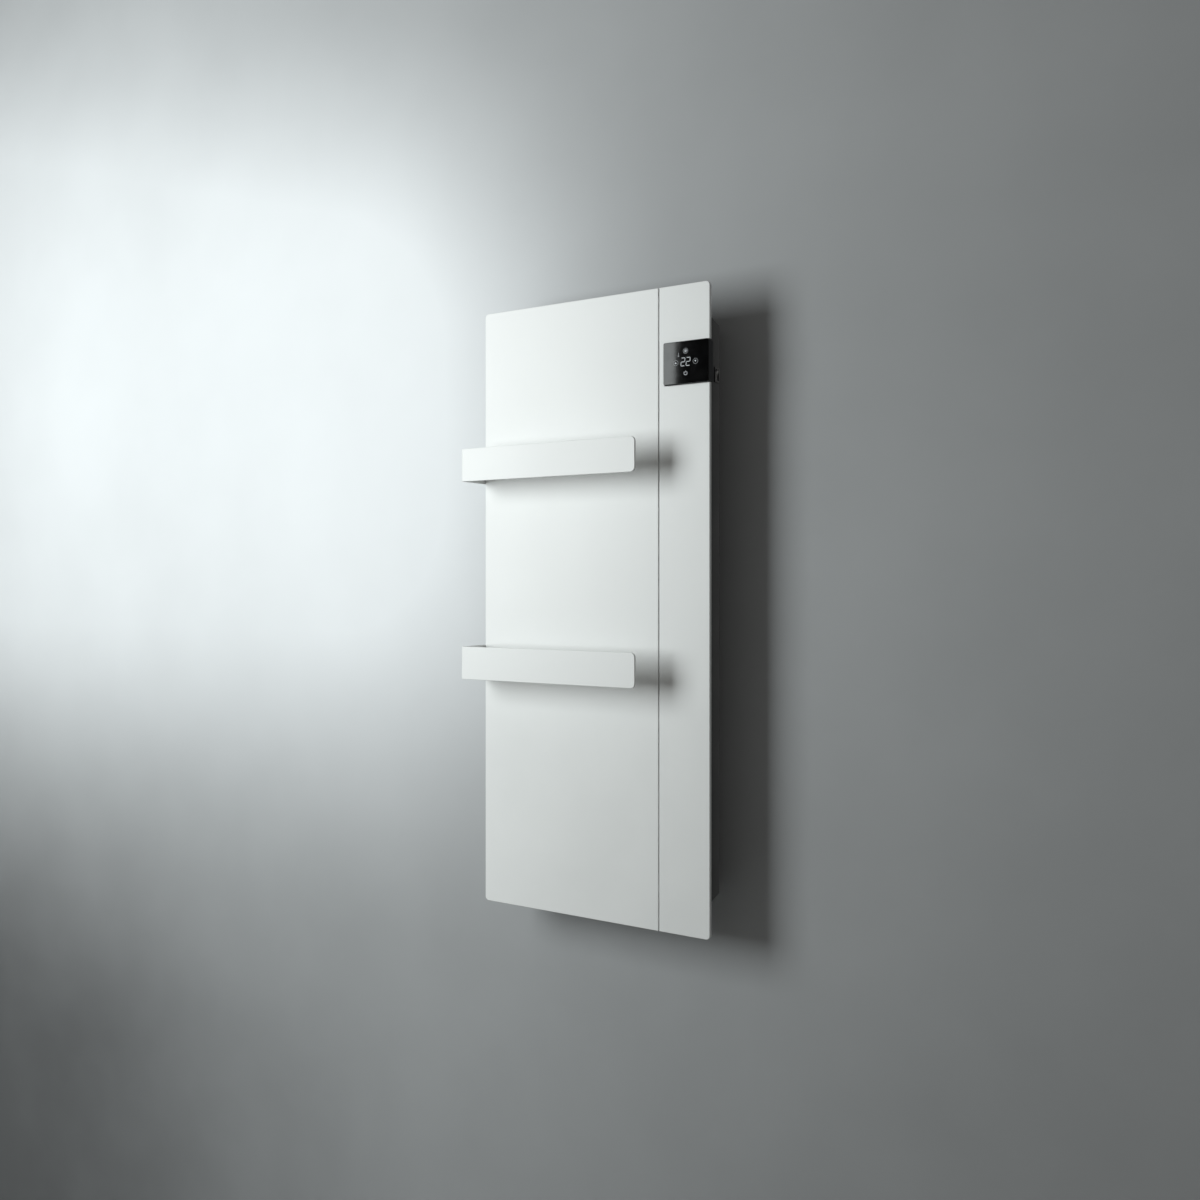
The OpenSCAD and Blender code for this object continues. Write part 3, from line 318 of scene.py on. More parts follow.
def set_out(tree, points, shape, turn, material):
    """Puts a shape on each point, made real and in its material"""
    rows = put(tree, "GeometryNodeInstanceOnPoints",
               {"Points": points, "Instance": shape, "Rotation": turn})
    real = put(tree, "GeometryNodeRealizeInstances", {"Geometry": rows.outputs[0]})
    return put(tree, "GeometryNodeSetMaterial",
               {"Geometry": real.outputs[0], "Material": material}).outputs[0]


def fastener_tree(name, recess):
    """A tree that puts a turned fastener on each point: shank, domed head and its recess"""
    sizes = [("Head radius", 3.8 * mm), ("Head height", 2.4 * mm), ("Shank radius", 1.9 * mm),
             ("Shank length", 6.0 * mm), ("Recess width", 3.0 * mm), ("Recess depth", 1.2 * mm)]
    inputs = [("Points", "NodeSocketGeometry", None), ("Finish", "NodeSocketMaterial", None),
              ("Facing", "NodeSocketFloat", -forward_facing), ("Spin", "NodeSocketFloat", each_turn)]
    inputs += [(label, "NodeSocketFloat", value) for label, value in sizes]
    tree, given, result = group_tree("GeometryNodeTree", name, inputs,
                                     [("Fasteners", "NodeSocketGeometry")])

    def times(a, b):
        return reckoned(tree, "MULTIPLY", a, b)

    def lifted(mesh, height):
        place = put(tree, "ShaderNodeCombineXYZ", {"Z": height}).outputs[0]
        return put(tree, "GeometryNodeTransform", {"Geometry": mesh, "Translation": place}).outputs[0]

    def turned(start, end, wide, narrow, sides=32):
        height = reckoned(tree, "SUBTRACT", end, start)
        cone = put(tree, "GeometryNodeMeshCone", {"Vertices": sides, "Radius Bottom": wide,
                                                  "Radius Top": narrow, "Depth": height})
        return lifted(cone.outputs["Mesh"], start)

    def merged(meshes, whole=None):
        made = put(tree, "GeometryNodeMeshBoolean", {}, operation="DIFFERENCE" if whole else "UNION")
        if whole:
            tree.links.new(whole, made.inputs["Mesh 1"])
        for mesh in meshes:
            tree.links.new(mesh, made.inputs["Mesh 2"])
        return made.outputs["Mesh"]

    shank = given["Shank radius"]
    radius = given["Head radius"]
    height = given["Head height"]
    rim = times(height, rim_height)
    brow = times(height, brow_height)
    shoulder = times(radius, brow_width)
    shape = merged([turned(times(given["Shank length"], -1.0), 0.0, shank, shank),
                    turned(0.0, rim, radius, radius), turned(rim, brow, radius, shoulder),
                    turned(brow, height, shoulder, times(radius, crown_width))])
    if recess:
        floor = reckoned(tree, "SUBTRACT", height, given["Recess depth"])
        if recess == "socket":
            half = times(given["Recess width"], 0.5)
            cutters = [turned(floor, times(height, 1.5), half, half, 6)]
        else:
            arm = times(given["Recess width"], arm_width)
            raised = reckoned(tree, "ADD", floor, times(height, 0.5))
            cutters = []
            for wide, deep in ((given["Recess width"], arm), (arm, given["Recess width"])):
                size = put(tree, "ShaderNodeCombineXYZ", {"X": wide, "Y": deep, "Z": height}).outputs[0]
                bar = put(tree, "GeometryNodeMeshCube", {"Size": size}).outputs["Mesh"]
                cutters.append(lifted(bar, raised))
        shape = merged([merged(cutters)], shape)
    spin = times(tree.nodes.new("GeometryNodeInputIndex").outputs[0], given["Spin"])
    turn = put(tree, "ShaderNodeCombineXYZ", {"X": given["Facing"], "Y": spin}).outputs[0]
    feed(tree, result, Fasteners=set_out(tree, given["Points"], shape, turn, given["Finish"]))
    return tree


def set_input(modifier, label, value):
    """Sets a named input of a Geometry Nodes modifier by its socket's identifier"""
    for item in modifier.node_group.interface.items_tree:
        if item.name == label and item.in_out == "INPUT":
            modifier[item.identifier] = value


def placed_rows(name, tree, points, material, body, slot, node, **sizes):
    """Runs a tree on a set of points and keeps the result as one plain mesh"""
    seats = bpy.data.meshes.new(name)
    seats.from_pydata(points, [], [])
    piece = bpy.data.objects.new(name, seats)
    bpy.context.scene.collection.objects.link(piece)
    rows = piece.modifiers.new("rows", "NODES")
    rows.node_group = tree
    set_input(rows, "Finish", material)
    for label, value in sizes.items():
        set_input(rows, label.replace("_", " ").capitalize(), value)
    apply_modifiers(piece)
    settle(piece, material, body, slot, *([node] if node else []))


def seats_of(node, head, forward=False):
    """Where the heads of a node's fasteners seat. They point to the rear, or forward."""
    return [((low.x + high.x) / 2, low.y + head if forward else high.y - head, (low.z + high.z) / 2)
            for low, high in solids_of(node)]


def clouds(tree, vector, scale, detail):
    """Noise spread so that it runs nearly from 0 to 1"""
    return ranged(tree, noise_at(tree, vector, scale, detail), 0.3, 0.7)


plated, plated_in, plated_out = surface_group("plated", Cloud=120.0, Grain=4000.0)
plated_place = object_place(plated)
feed(plated, plated_out, Tone=clouds(plated, plated_place, plated_in["Cloud"], 3),
     Height=noise_at(plated, plated_place, plated_in["Grain"], 1))
zinc = finish("zinc_plate", plated, {}, (0.58, 0.60, 0.64), (0.70, 0.70, 0.66), (0.22, 0.40), 0.01 * mm,
              worn=(0.85, 0.85, 0.86), wear=0.5, Metallic=1.0)

plain_head = fastener_tree("plain_headed_fasteners", None)
placed_rows("bracket_rivet_heads", plain_head, seats_of("bracket_rivets", rivet_dome, forward=True),
            zinc, "wall_bracket", "zinc_plated_steel", "bracket_rivets", facing=forward_facing,
            head_radius=4.3 * mm, head_height=rivet_dome, shank_radius=2.35 * mm,
            shank_length=rivet_reach)

# Carrier plate
# Powder-coated sheet behind the two panels: it ties them together and carries the control, the
# bars and the housing. Only its margin shows, from behind and in the seam between the panels.
powder, powder_in, powder_out = surface_group("powder_grain", Mottle=9.0, Peel=420.0, Grain=2600.0)
powder_place = object_place(powder)
peel = noise_at(powder, powder_place, powder_in["Peel"], 2)
grain = noise_at(powder, powder_place, powder_in["Grain"], 2)
mottle = clouds(powder, powder_place, powder_in["Mottle"], 4)
feed(powder, powder_out, Tone=mixed_value(powder, 0.3, mottle, grain),
     Height=mixed_value(powder, 0.35, peel, grain))
anthracite = finish("anthracite_powder_coat", powder, {"Peel": 900.0, "Grain": 3200.0},
                    (0.038, 0.040, 0.043), (0.054, 0.057, 0.061), (0.58, 0.72), 0.09 * mm,
                    worn=(0.13, 0.135, 0.14), wear=0.4)

eased_node("carrier_plate", "carrier_sheet", anthracite, "anthracite_powder_coat", 0.2 * mm)

# Panels: the main one and the narrow one beside it
# White powder-coated steel, every edge folded back in one bend, with an open seam between them.
# The narrow panel's fold also runs round the opening that takes the control.
panel_sheet = 1.5 * mm
panel_corner = 8 * mm
panel_fold = 1.2 * mm
seam_corner = 0.4 * mm
opening_corner = 0.6 * mm
control_clearance = 0.5 * mm
rim_round = 0.35 * mm
least_radius = 0.15 * mm


def outline(corners, inset, steps=7):
    """A closed outline in x and z: a corner is x, z and radius, and the inside lies on the left"""
    points = []
    for i, (x, z, radius) in enumerate(corners):
        before = Vector(corners[i - 1][:2])
        here = Vector((x, z))
        after = Vector(corners[(i + 1) % len(corners)][:2])
        way_in = (here - before).normalized()
        way_out = (after - here).normalized()
        left_in = Vector((-way_in.y, way_in.x))
        left_out = Vector((-way_out.y, way_out.x))
        corner = here + (left_in + left_out) * inset / (1 + left_in.dot(left_out))
        side = 1 if way_in.cross(way_out) > 0 else -1
        bend = max(radius - side * inset, least_radius)
        turn = way_in.angle(way_out)
        centre = corner - way_in * bend * math.tan(turn / 2) + left_in * bend * side
        for step in range(steps + 1):
            spin = Matrix.Rotation(side * turn * step / steps, 2)
            points.append(centre - spin @ (left_in * bend * side))
    return points


def loft(bm, rings):
    """Joins rings of equal count, each an outline and its depth, into one closed solid"""
    made = [[bm.verts.new((p.x, y, p.y)) for p in points] for points, y in rings]
    for one, other in zip(made, made[1:]):
        for k in range(len(one)):
            following = (k + 1) % len(one)
            bm.faces.new((one[k], one[following], other[following], other[k]))
    bm.faces.new(made[0])
    bm.faces.new(made[-1])
    bmesh.ops.recalc_face_normals(bm, faces=bm.faces)


def four_corners(left, right, low, high, left_radius, right_radius):
    """An oblong's corners, with one radius at its left and one at its right"""
    return [(left, low, left_radius), (right, low, right_radius), (right, high, right_radius),
            (left, high, left_radius)]


def eased_front(front, width, steps=6):
    """The rings of a front that is rounded all round: how far in each lies, and its depth"""
    turns = [math.pi / 2 * step / steps for step in range(steps + 1)]
    return [(width * (1 - math.cos(turn)), front + width * (1 - math.sin(turn))) for turn in turns]


def folded_panel(name, corners, front, rear):
    """A tray of sheet: from the inner face back to the rim, round it and over the fold"""
    rings = [(panel_sheet, front + panel_sheet), (panel_sheet, rear - rim_round),
             (panel_sheet - rim_round, rear), (rim_round, rear), (0.0, rear - rim_round)]
    bm = bmesh.new()
    loft(bm, [(outline(corners, inset), y) for inset, y in rings + eased_front(front, panel_fold)])
    return shown_mesh(name, bm)


white_coat = finish("white_powder_coat", powder, {"Mottle": 7.0}, (0.790, 0.797, 0.790),
                    (0.830, 0.835, 0.828), (0.38, 0.48), 0.09 * mm, worn=(0.72, 0.72, 0.71), wear=0.25)

panel_low, panel_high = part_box("main_panel")
main_corners = four_corners(panel_low.x, panel_high.x, panel_low.z, panel_high.z, panel_corner,
                            seam_corner)
settle(folded_panel("front_panel", main_corners, panel_low.y, panel_high.y), white_coat, "heater",
       "white_powder_coat", "main_panel")

side_low, side_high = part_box("side_panel")
glass_low, glass_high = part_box("control_glass")
opening_left = glass_low.x - control_clearance
opening_low = glass_low.z - control_clearance
opening_high = glass_high.z + control_clearance
side_corners = [(side_low.x, side_low.z, seam_corner), (side_high.x, side_low.z, panel_corner),
                (side_high.x, opening_low, seam_corner), (opening_left, opening_low, opening_corner),
                (opening_left, opening_high, opening_corner), (side_high.x, opening_high, seam_corner),
                (side_high.x, side_high.z, panel_corner), (side_low.x, side_high.z, seam_corner)]
settle(folded_panel("narrow_panel", side_corners, side_low.y, side_high.y), white_coat, "heater",
       "white_powder_coat", "side_panel")

# Panel studs and nuts
# Studs are welded to the panels' inner faces, pass through the carrier and take a hexagon nut.
# The threads are rolled, so they show as fine rings along the stud.
threaded, threaded_in, threaded_out = surface_group("threaded", Rings=224.0)
rings = put(threaded, "ShaderNodeTexWave",
            {"Vector": object_place(threaded), "Scale": threaded_in["Rings"], "Distortion": 0.0},
            bands_direction="Y").outputs["Fac"]
feed(threaded, threaded_out, Tone=ranged(threaded, rings, 0.1, 0.9), Height=rings)
stud_steel = finish("threaded_zinc", threaded, {}, (0.46, 0.47, 0.50), (0.70, 0.70, 0.68), (0.25, 0.42),
                    0.25 * mm, Metallic=1.0)
eased_node("panel_studs", "weld_studs", stud_steel, "zinc_plated_steel", 0.35 * mm)
eased_node("panel_nuts", "stud_nuts", zinc, "zinc_plated_steel")

# Heating plate
# Rolled aluminium sheet bonded to the main panel's inner face, which spreads the cable's heat.
# The rolling marks run along its height.
rolled, rolled_in, rolled_out = surface_group("rolled", Across=(900.0, 900.0, 14.0), Cloud=25.0)
rolled_place = object_place(rolled)
drawn_out = put(rolled, "ShaderNodeVectorMath", {0: rolled_place, 1: rolled_in["Across"]},
                operation="MULTIPLY").outputs[0]
lines = noise_at(rolled, drawn_out, 1.0, 4)
haze = noise_at(rolled, rolled_place, rolled_in["Cloud"], 3)
marks = ranged(rolled, mixed_value(rolled, 0.35, lines, haze), 0.3, 0.7)
feed(rolled, rolled_out, Tone=marks, Height=lines)
aluminium = finish("rolled_aluminium", rolled, {}, (0.69, 0.70, 0.71), (0.80, 0.81, 0.82), (0.28, 0.38),
                   0.015 * mm, worn=(0.9, 0.9, 0.9), wear=0.4, Metallic=1.0)


def dress(material, slot, *nodes):
    """Gives nodes that are shown as they are their material"""
    for node in nodes:
        shown = frame["nodes"][node]
        shown.data.materials.clear()
        shown.data.materials.append(material)


dress(aluminium, "aluminium", "heating_plate")

# Heating cable
# One length of silicone-covered cable, laid up and down the plate, with both ends led back
# through the carrier. The cover is extruded, so it is smooth with a faint bloom.
extruded, extruded_in, extruded_out = surface_group("extruded_cover", Bloom=60.0, Grain=3000.0)
extruded_place = object_place(extruded)
feed(extruded, extruded_out, Tone=clouds(extruded, extruded_place, extruded_in["Bloom"], 4),
     Height=noise_at(extruded, extruded_place, extruded_in["Grain"], 2))
red_silicone = finish("red_silicone", extruded, {}, (0.30, 0.045, 0.035), (0.42, 0.08, 0.065),
                      (0.42, 0.6), 0.03 * mm)
dress(red_silicone, "silicone_red", "heating_cable")

# Cable combs, grommets and room sensor holder
# Moulded black polyamide and rubber: the combs clip over the cable's runs, and a grommet lines each
# hole in the carrier. The moulds' spark-eroded walls give a fine even grain.
moulded, moulded_in, moulded_out = surface_group("moulded_grain", Grain=1700.0, Flow=30.0)
moulded_place = object_place(moulded)
pits = put(moulded, "ShaderNodeTexVoronoi", {"Vector": moulded_place, "Scale": moulded_in["Grain"]},
           feature="SMOOTH_F1").outputs["Distance"]
flow = clouds(moulded, moulded_place, moulded_in["Flow"], 4)
feed(moulded, moulded_out, Tone=mixed_value(moulded, 0.35, flow, pits), Height=pits)
black_plastic = finish("black_plastic", moulded, {}, (0.018, 0.018, 0.020), (0.034, 0.034, 0.037),
                       (0.46, 0.62), 0.05 * mm, worn=(0.08, 0.08, 0.085), wear=0.5)
black_rubber = finish("black_rubber", moulded, {"Grain": 900.0}, (0.016, 0.016, 0.016),
                      (0.036, 0.035, 0.034), (0.68, 0.84), 0.05 * mm)
dress(black_plastic, "black_plastic", "cable_combs", "room_sensor")
dress(black_rubber, "black_rubber", "cable_grommets")

# Insulation mat
# Felted mineral wool between the carrier and the housing, cut from a roll. It is soft, so its edges
# are rounded and its faces uneven.
mat_cell = 14 * mm
mat_swell = 2.2 * mm
mat_edge = 3.0 * mm
mat_play = 0.3 * mm
lump_scale = 28
mat_low, mat_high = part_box("insulation_mat")
wool = bmesh.new()
bmesh.ops.create_cube(wool, size=1.0)
mat_size = mat_high - mat_low
mat_middle = (mat_low + mat_high) / 2
inner_size = mat_size - Vector((1, 1, 1)) * 2 * mat_play
for vert in wool.verts:
    vert.co = mat_middle + Vector(vert.co[i] * inner_size[i] for i in range(3))
bmesh.ops.bevel(wool, geom=wool.edges[:], offset=mat_edge, segments=3, profile=0.5, affect="EDGES")
for axis, low, high in ((0, mat_low.x, mat_high.x), (2, mat_low.z, mat_high.z)):
    normal = Vector((1 if axis == 0 else 0, 0, 1 if axis == 2 else 0))
    for cell in range(1, int((high - low) / mat_cell)):
        everything = wool.verts[:] + wool.edges[:] + wool.faces[:]
        bmesh.ops.bisect_plane(wool, geom=everything, dist=weld_distance,
                               plane_co=normal * (low + cell * mat_cell), plane_no=normal)
for vert in wool.verts:
    lump = noise.fractal(vert.co * lump_scale, 1.0, 2.0, 4) * 0.5 - 0.5
    depth = 1 if vert.co.y > mat_middle.y else -1
    vert.co.y += depth * mat_swell * max(-1.0, min(0.0, lump))
fibres, fibres_in, fibres_out = surface_group("felted_fibres", Fibres=700.0)
ways = [noise_at(fibres, object_place(fibres, stretch), fibres_in["Fibres"], 3)
        for stretch in ((1.0, 1.0, 0.08), (0.08, 1.0, 1.0))]
crossed = reckoned(fibres, "MAXIMUM", *ways)
feed(fibres, fibres_out, Tone=ranged(fibres, crossed, 0.4, 0.75), Height=crossed)
mineral_wool = finish("mineral_wool", fibres, {}, (0.40, 0.34, 0.20), (0.70, 0.64, 0.46), (0.85, 0.97),
                      0.5 * mm)
mat = settle(shown_mesh("wool_mat", wool), mineral_wool, "heater", "mineral_wool", "insulation_mat")

# Thermal cut-out
# A bimetal disc in a zinc-plated cap, fixed to the carrier by its flange. It opens the heating
# cable's circuit when the plate gets too hot.
dress(zinc, "zinc_plated_steel", "thermal_cutout")

# Rear housing
# One folded and pressed steel cover with sloping, slotted ends, screwed to the carrier by a flange.
# Its long folds are wider than its cut edges, and it is coated in a fine-textured anthracite.
housing_fold = 0.9 * mm
fold_steps = 3
least_fold = 60 * mm
cut_edge = 0.2 * mm
flange_depth = 4 * mm
flange_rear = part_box("rear_housing")[0].y + flange_depth


def is_long_fold(edge):
    """Tells the shell's outer folds and its pressed beads from the flange and the cut edges"""
    middle = (edge.verts[0].co + edge.verts[1].co) / 2
    return edge.is_convex and edge.calc_length() > least_fold and middle.y > flange_rear


shell = joined_solid("rear_housing")
break_edges(shell, housing_fold, fold_steps, is_long_fold)
break_edges(shell, cut_edge, 1, lambda edge: edge.calc_face_angle(0.0) > crease)
settle(shown_mesh("housing_shell", shell), anthracite, "heater", "anthracite_powder_coat",
       "rear_housing")

# Hang plates and wall buffers
# Galvanised plates spot-welded inside the housing, which take the hooks' load round their slots,
# and two soft rubber buffers that hold the lower end off the wall.
eased_node("hang_plates", "hanging_plates", galvanised, "galvanised_steel", 0.25 * mm)
eased_node("wall_buffers", "rubber_buffers", black_rubber, "black_rubber", 0.8 * mm, 3)

# Housing screws
# Black self-tapping screws with pan heads and cross recesses, along the housing's flange.
# Each stopped at its own turn when it was driven home.
screw_head = 2.4 * mm
blackened = finish("black_oxide_steel", plated, {"Cloud": 300.0}, (0.020, 0.020, 0.022),
                   (0.045, 0.045, 0.048), (0.30, 0.46), 0.01 * mm, worn=(0.30, 0.30, 0.30), wear=0.6,
                   Metallic=0.5)
cross_head = fastener_tree("cross_headed_fasteners", "cross")
placed_rows("housing_screw_row", cross_head, seats_of("housing_screws", screw_head), blackened, "heater",
            "black_oxide_steel", "housing_screws", head_radius=3.8 * mm, head_height=screw_head,
            shank_radius=1.85 * mm, shank_length=5.4 * mm, recess_width=4.2 * mm, recess_depth=1.3 * mm)

# Towel bars
# Flat steel strip, bent twice round the panel's left edge and coated white like the panels. The free
# end's corners are cut round, and the long edges are eased so that a towel slides over them.
bar_thickness = 5 * mm
bar_bend = 2 * mm
bar_end_radius = 9 * mm
bar_foot_length = 34 * mm
bar_edge = 0.7 * mm
bend_steps = 9
foot_corner = 1.2 * mm
bolt_clearance = 3.25 * mm


def cut_away(piece, cutter):
    """Takes a cutter's solid out of a piece"""
    tool = shown_mesh("cutter", cutter)
    cut = piece.modifiers.new("cut", "BOOLEAN")
    cut.operation = "DIFFERENCE"
    cut.solver = "EXACT"
    cut.object = tool
    apply_modifiers(piece)
    bpy.data.objects.remove(tool)


def eased_rings(half, width, steps=4):
    """The rings of a plate with both edges rounded: how far in each lies, and its depth"""
    rings = []
    for side in (-1, 1):
        for step in range(steps + 1):
            turn = math.pi / 2 * (step if side < 0 else steps - step) / steps
            rings.append((width * (1 - math.sin(turn)), side * (half - width * (1 - math.cos(turn)))))
    return rings


def bent_bar(name, low, high, holes):
    """A flat plate with eased edges, drawn along its length and then wrapped round its two bends"""
    half = bar_thickness / 2
    outer = bar_bend + bar_thickness
    middle = bar_bend + half
    arc = middle * math.pi / 2
    front = high.x - low.x - outer
    leg = high.y - low.y - 2 * outer
    marks = [front, front + arc, front + arc + leg, front + 2 * arc + leg]
    length = marks[3] + bar_foot_length - outer
    corners = four_corners(0.0, length, low.z, high.z, bar_end_radius, foot_corner)
    bm = bmesh.new()
    loft(bm, [(outline(corners, inset), y) for inset, y in eased_rings(half, bar_edge)])
    for start in (marks[0], marks[2]):
        for step in range(bend_steps + 1):
            everything = bm.verts[:] + bm.edges[:] + bm.faces[:]
            bmesh.ops.bisect_plane(bm, geom=everything, dist=weld_distance,
                                   plane_co=(start + arc * step / bend_steps, 0, 0), plane_no=(1, 0, 0))
    for vert in bm.verts:
        run, out, z = vert.co
        reach = middle - out
        if run <= marks[0]:
            vert.co = (high.x - run, low.y + half + out, z)
        elif run <= marks[1]:
            turn = (run - marks[0]) / middle
            vert.co = (low.x + outer - reach * math.sin(turn),
                       low.y + outer - reach * math.cos(turn), z)
        elif run <= marks[2]:
            vert.co = (low.x + half + out, low.y + outer + run - marks[1], z)
        elif run <= marks[3]:
            turn = (run - marks[2]) / middle
            vert.co = (low.x + outer - reach * math.cos(turn),
                       high.y - outer + reach * math.sin(turn), z)
        else:
            vert.co = (low.x + outer + run - marks[3], high.y - half - out, z)
    bmesh.ops.recalc_face_normals(bm, faces=bm.faces)
    bar = shown_mesh(name, bm)
    drills = bmesh.new()
    for x, z in holes:
        upright = Matrix.Translation((x, high.y - half, z)) @ Matrix.Rotation(math.radians(90), 4, "X")
        bmesh.ops.create_cone(drills, cap_ends=True, segments=32, radius1=bolt_clearance,
                              radius2=bolt_clearance, depth=3 * bar_thickness, matrix=upright)
    cut_away(bar, drills)
    return bar


bolt_boxes = solids_of("bar_bolts")
for side in ("upper", "lower"):
    node = f"{side}_towel_bar"
    bar_low, bar_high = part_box(node)
    bolts_here = [((low.x + high.x) / 2, (low.z + high.z) / 2) for low, high in bolt_boxes
                  if bar_low.z < low.z < bar_high.z]
    settle(bent_bar(f"{side}_bar_strip", bar_low, bar_high, bolts_here), white_coat, "heater",
           "white_powder_coat", node)

# Bar pads, bolts and clinch nuts
# Pads of black silicone rubber keep the bars' feet off the carrier's coating. Black socket-head
# bolts go through each foot into plated nuts that are clinched into the carrier.
bolt_head = 3.6 * mm
eased_node("bar_pads", "foot_pads", black_rubber, "black_rubber", 0.2 * mm)

socket_head = fastener_tree("socket_headed_fasteners", "socket")
placed_rows("bar_bolt_set", socket_head, seats_of("bar_bolts", bolt_head), blackened, "heater",
            "black_oxide_steel", "bar_bolts", head_radius=5 * mm, head_height=bolt_head,
            shank_radius=2.95 * mm, shank_length=11.4 * mm, recess_width=4.5 * mm, recess_depth=2.2 * mm)

eased_node("bar_clinch_nuts", "clinch_nut_set", zinc, "zinc_plated_steel")

# Control case
# A shallow moulded box in black plastic behind the glass. It fills the opening in the narrow panel
# and stands out at the panel's right side.
eased_node("control_case", "control_box", black_plastic, "black_plastic", 0.35 * mm,
           chosen=lambda edge: edge.is_convex)

# Control glass
# Toughened glass, printed black on its rear face, with a polished rounded edge all round.
# Fingers leave it a little duller in patches.
glass_corner = 3 * mm
glass_edge = 0.9 * mm
glass_rear_edge = 0.3 * mm
smudged, smudged_in, smudged_out = surface_group("smudged_glass", Touches=55.0)
touches = noise_at(smudged, object_place(smudged), smudged_in["Touches"], 5)
smudge = ranged(smudged, touches, 0.45, 0.72)
feed(smudged, smudged_out, Tone=smudge, Height=smudge)
black_glass = finish("control_glass", smudged, {}, (0.0014, 0.0014, 0.0016), (0.0020, 0.0020, 0.0023),
                     (0.045, 0.075), 0.0003 * mm, Specular_IOR_Level=0.27)
glass_corners = four_corners(glass_low.x, glass_high.x, glass_low.z, glass_high.z, glass_corner,
                             glass_corner)
glass_rings = [(glass_rear_edge, glass_high.y), (0.0, glass_high.y - glass_rear_edge)]
pane = bmesh.new()
loft(pane, [(outline(glass_corners, inset), y)
            for inset, y in glass_rings + eased_front(glass_low.y, glass_edge)])
settle(shown_mesh("control_pane", pane), black_glass, "heater", "control_glass", "control_glass")

# Control display
# Lit through the print: two seven-segment digits for the set temperature, a small thermometer, and
# four touch keys. Three are a plain sign in a ring, and the fourth is a broken ring with a stroke.
digit_height = 14.6 * mm
digit_width = 7.7 * mm
digit_pitch = 10.7 * mm
digit_slant = 0.07
digit_rise = 0.6 * mm
segment_width = 1.2 * mm
segment_gap = 0.2 * mm
key_radius = 5.2 * mm
key_line = 0.6 * mm
key_reach = 20.4 * mm
sun_radius = 1.9 * mm
rays_start = 2.4 * mm
rays_end = 3.9 * mm
ray_width = 0.7 * mm
power_radius = 3.7 * mm
power_line = 0.9 * mm
power_start = 1.2 * mm
power_end = 4.6 * mm
arrow_height = 1.6 * mm
arrow_half = 2.1 * mm
bulb_radius = 1.4 * mm
disc_line = 1.1 * mm
stem_start = 1.2 * mm
stem_end = 6.4 * mm
stem_width = 1.0 * mm
lit_depths = (glass_low.y - 0.05 * mm, glass_low.y - 0.01 * mm)
display_middle = Vector(((glass_low.x + glass_high.x) / 2, (glass_low.z + glass_high.z) / 2))
bulb_place = display_middle + Vector((-14.5 * mm, 12.0 * mm))


def flat_mark(bm, points, depths):
    """A thin printed or lit mark: an outline in x and z between two depths"""
    ends = [[bm.verts.new((p.x, y, p.y)) for p in points] for y in depths]
    bm.faces.new(ends[0])
    bm.faces.new(list(reversed(ends[1])))
    for k in range(len(points)):
        following = (k + 1) % len(points)
        bm.faces.new((ends[0][k], ends[1][k], ends[1][following], ends[0][following]))


def round_mark(bm, middle, radius, line, depths, start=0.0, end=360.0, steps=40):
    """A ring, or the part of it between two angles from the right, as thin quads"""
    whole = end - start >= 360.0
    rims = []
    for step in range(steps if whole else steps + 1):
        way = math.radians(start + (end - start) * step / steps)
        out = Vector((math.cos(way), math.sin(way)))
        inner = middle + out * (radius - line)
        outer = middle + out * radius
        rims.append([bm.verts.new((p.x, y, p.y)) for y in depths for p in (inner, outer)])
    pairs = list(zip(rims, rims[1:] + rims[:1])) if whole else list(zip(rims, rims[1:]))
    for one, other in pairs:
        for a, b in ((0, 1), (1, 3), (3, 2), (2, 0)):
            bm.faces.new((one[a], one[b], other[b], other[a]))
    if not whole:
        for end_rim in (rims[0], rims[-1]):
            bm.faces.new((end_rim[0], end_rim[1], end_rim[3], end_rim[2]))


def bar_mark(bm, start, end, width, depths, point=0.5):
    """A straight stroke with pointed ends"""
    way = (end - start).normalized()
    side = Vector((-way.y, way.x)) * width / 2
    tip = way * width * point
    flat_mark(bm, [start, start + tip + side, end - tip + side, end, end - tip - side,
                   start + tip - side], depths)


def digit_two(bm, centre):
    """The figure two in slanted segments"""
    x = digit_width / 2
    z = digit_height / 2
    gap = segment_gap
    strokes = [(-x + gap, z, x - gap, z), (x, z - gap, x, gap), (-x + gap, 0, x - gap, 0),
               (-x, -gap, -x, -z + gap), (-x + gap, -z, x - gap, -z)]
    for x_start, z_start, x_end, z_end in strokes:
        start = centre + Vector((x_start + z_start * digit_slant, z_start))
        end = centre + Vector((x_end + z_end * digit_slant, z_end))
        bar_mark(bm, start, end, segment_width, lit_depths)


signs = bmesh.new()
rounds = bmesh.new()
for way in (-1, 1):
    digit_two(signs, display_middle + Vector((way * digit_pitch / 2, digit_rise)))

key_ways = {"plus": Vector((0, 1)), "power": Vector((0, -1)), "less": Vector((-1, 0)),
            "more": Vector((1, 0))}
for key, way in key_ways.items():
    centre = display_middle + way * key_reach
    if key != "power":
        round_mark(rounds, centre, key_radius, key_line, lit_depths)
    if key == "plus":
        round_mark(signs, centre, sun_radius, disc_line, lit_depths)
        for ray in range(8):
            out = Vector((math.cos(ray * math.pi / 4), math.sin(ray * math.pi / 4)))
            bar_mark(signs, centre + out * rays_start, centre + out * rays_end, ray_width, lit_depths)
    elif key == "power":
        round_mark(signs, centre, power_radius, power_line, lit_depths, start=-235, end=55)
        bar_mark(signs, centre + Vector((0, power_start)), centre + Vector((0, power_end)), power_line,
                 lit_depths)
    else:
        tip = arrow_height if key == "more" else -arrow_height
        flat_mark(signs, [centre + Vector((arrow_half, tip)), centre + Vector((-arrow_half, tip)),
                          centre + Vector((0, -tip))], lit_depths)
round_mark(rounds, bulb_place, bulb_radius, disc_line, lit_depths)
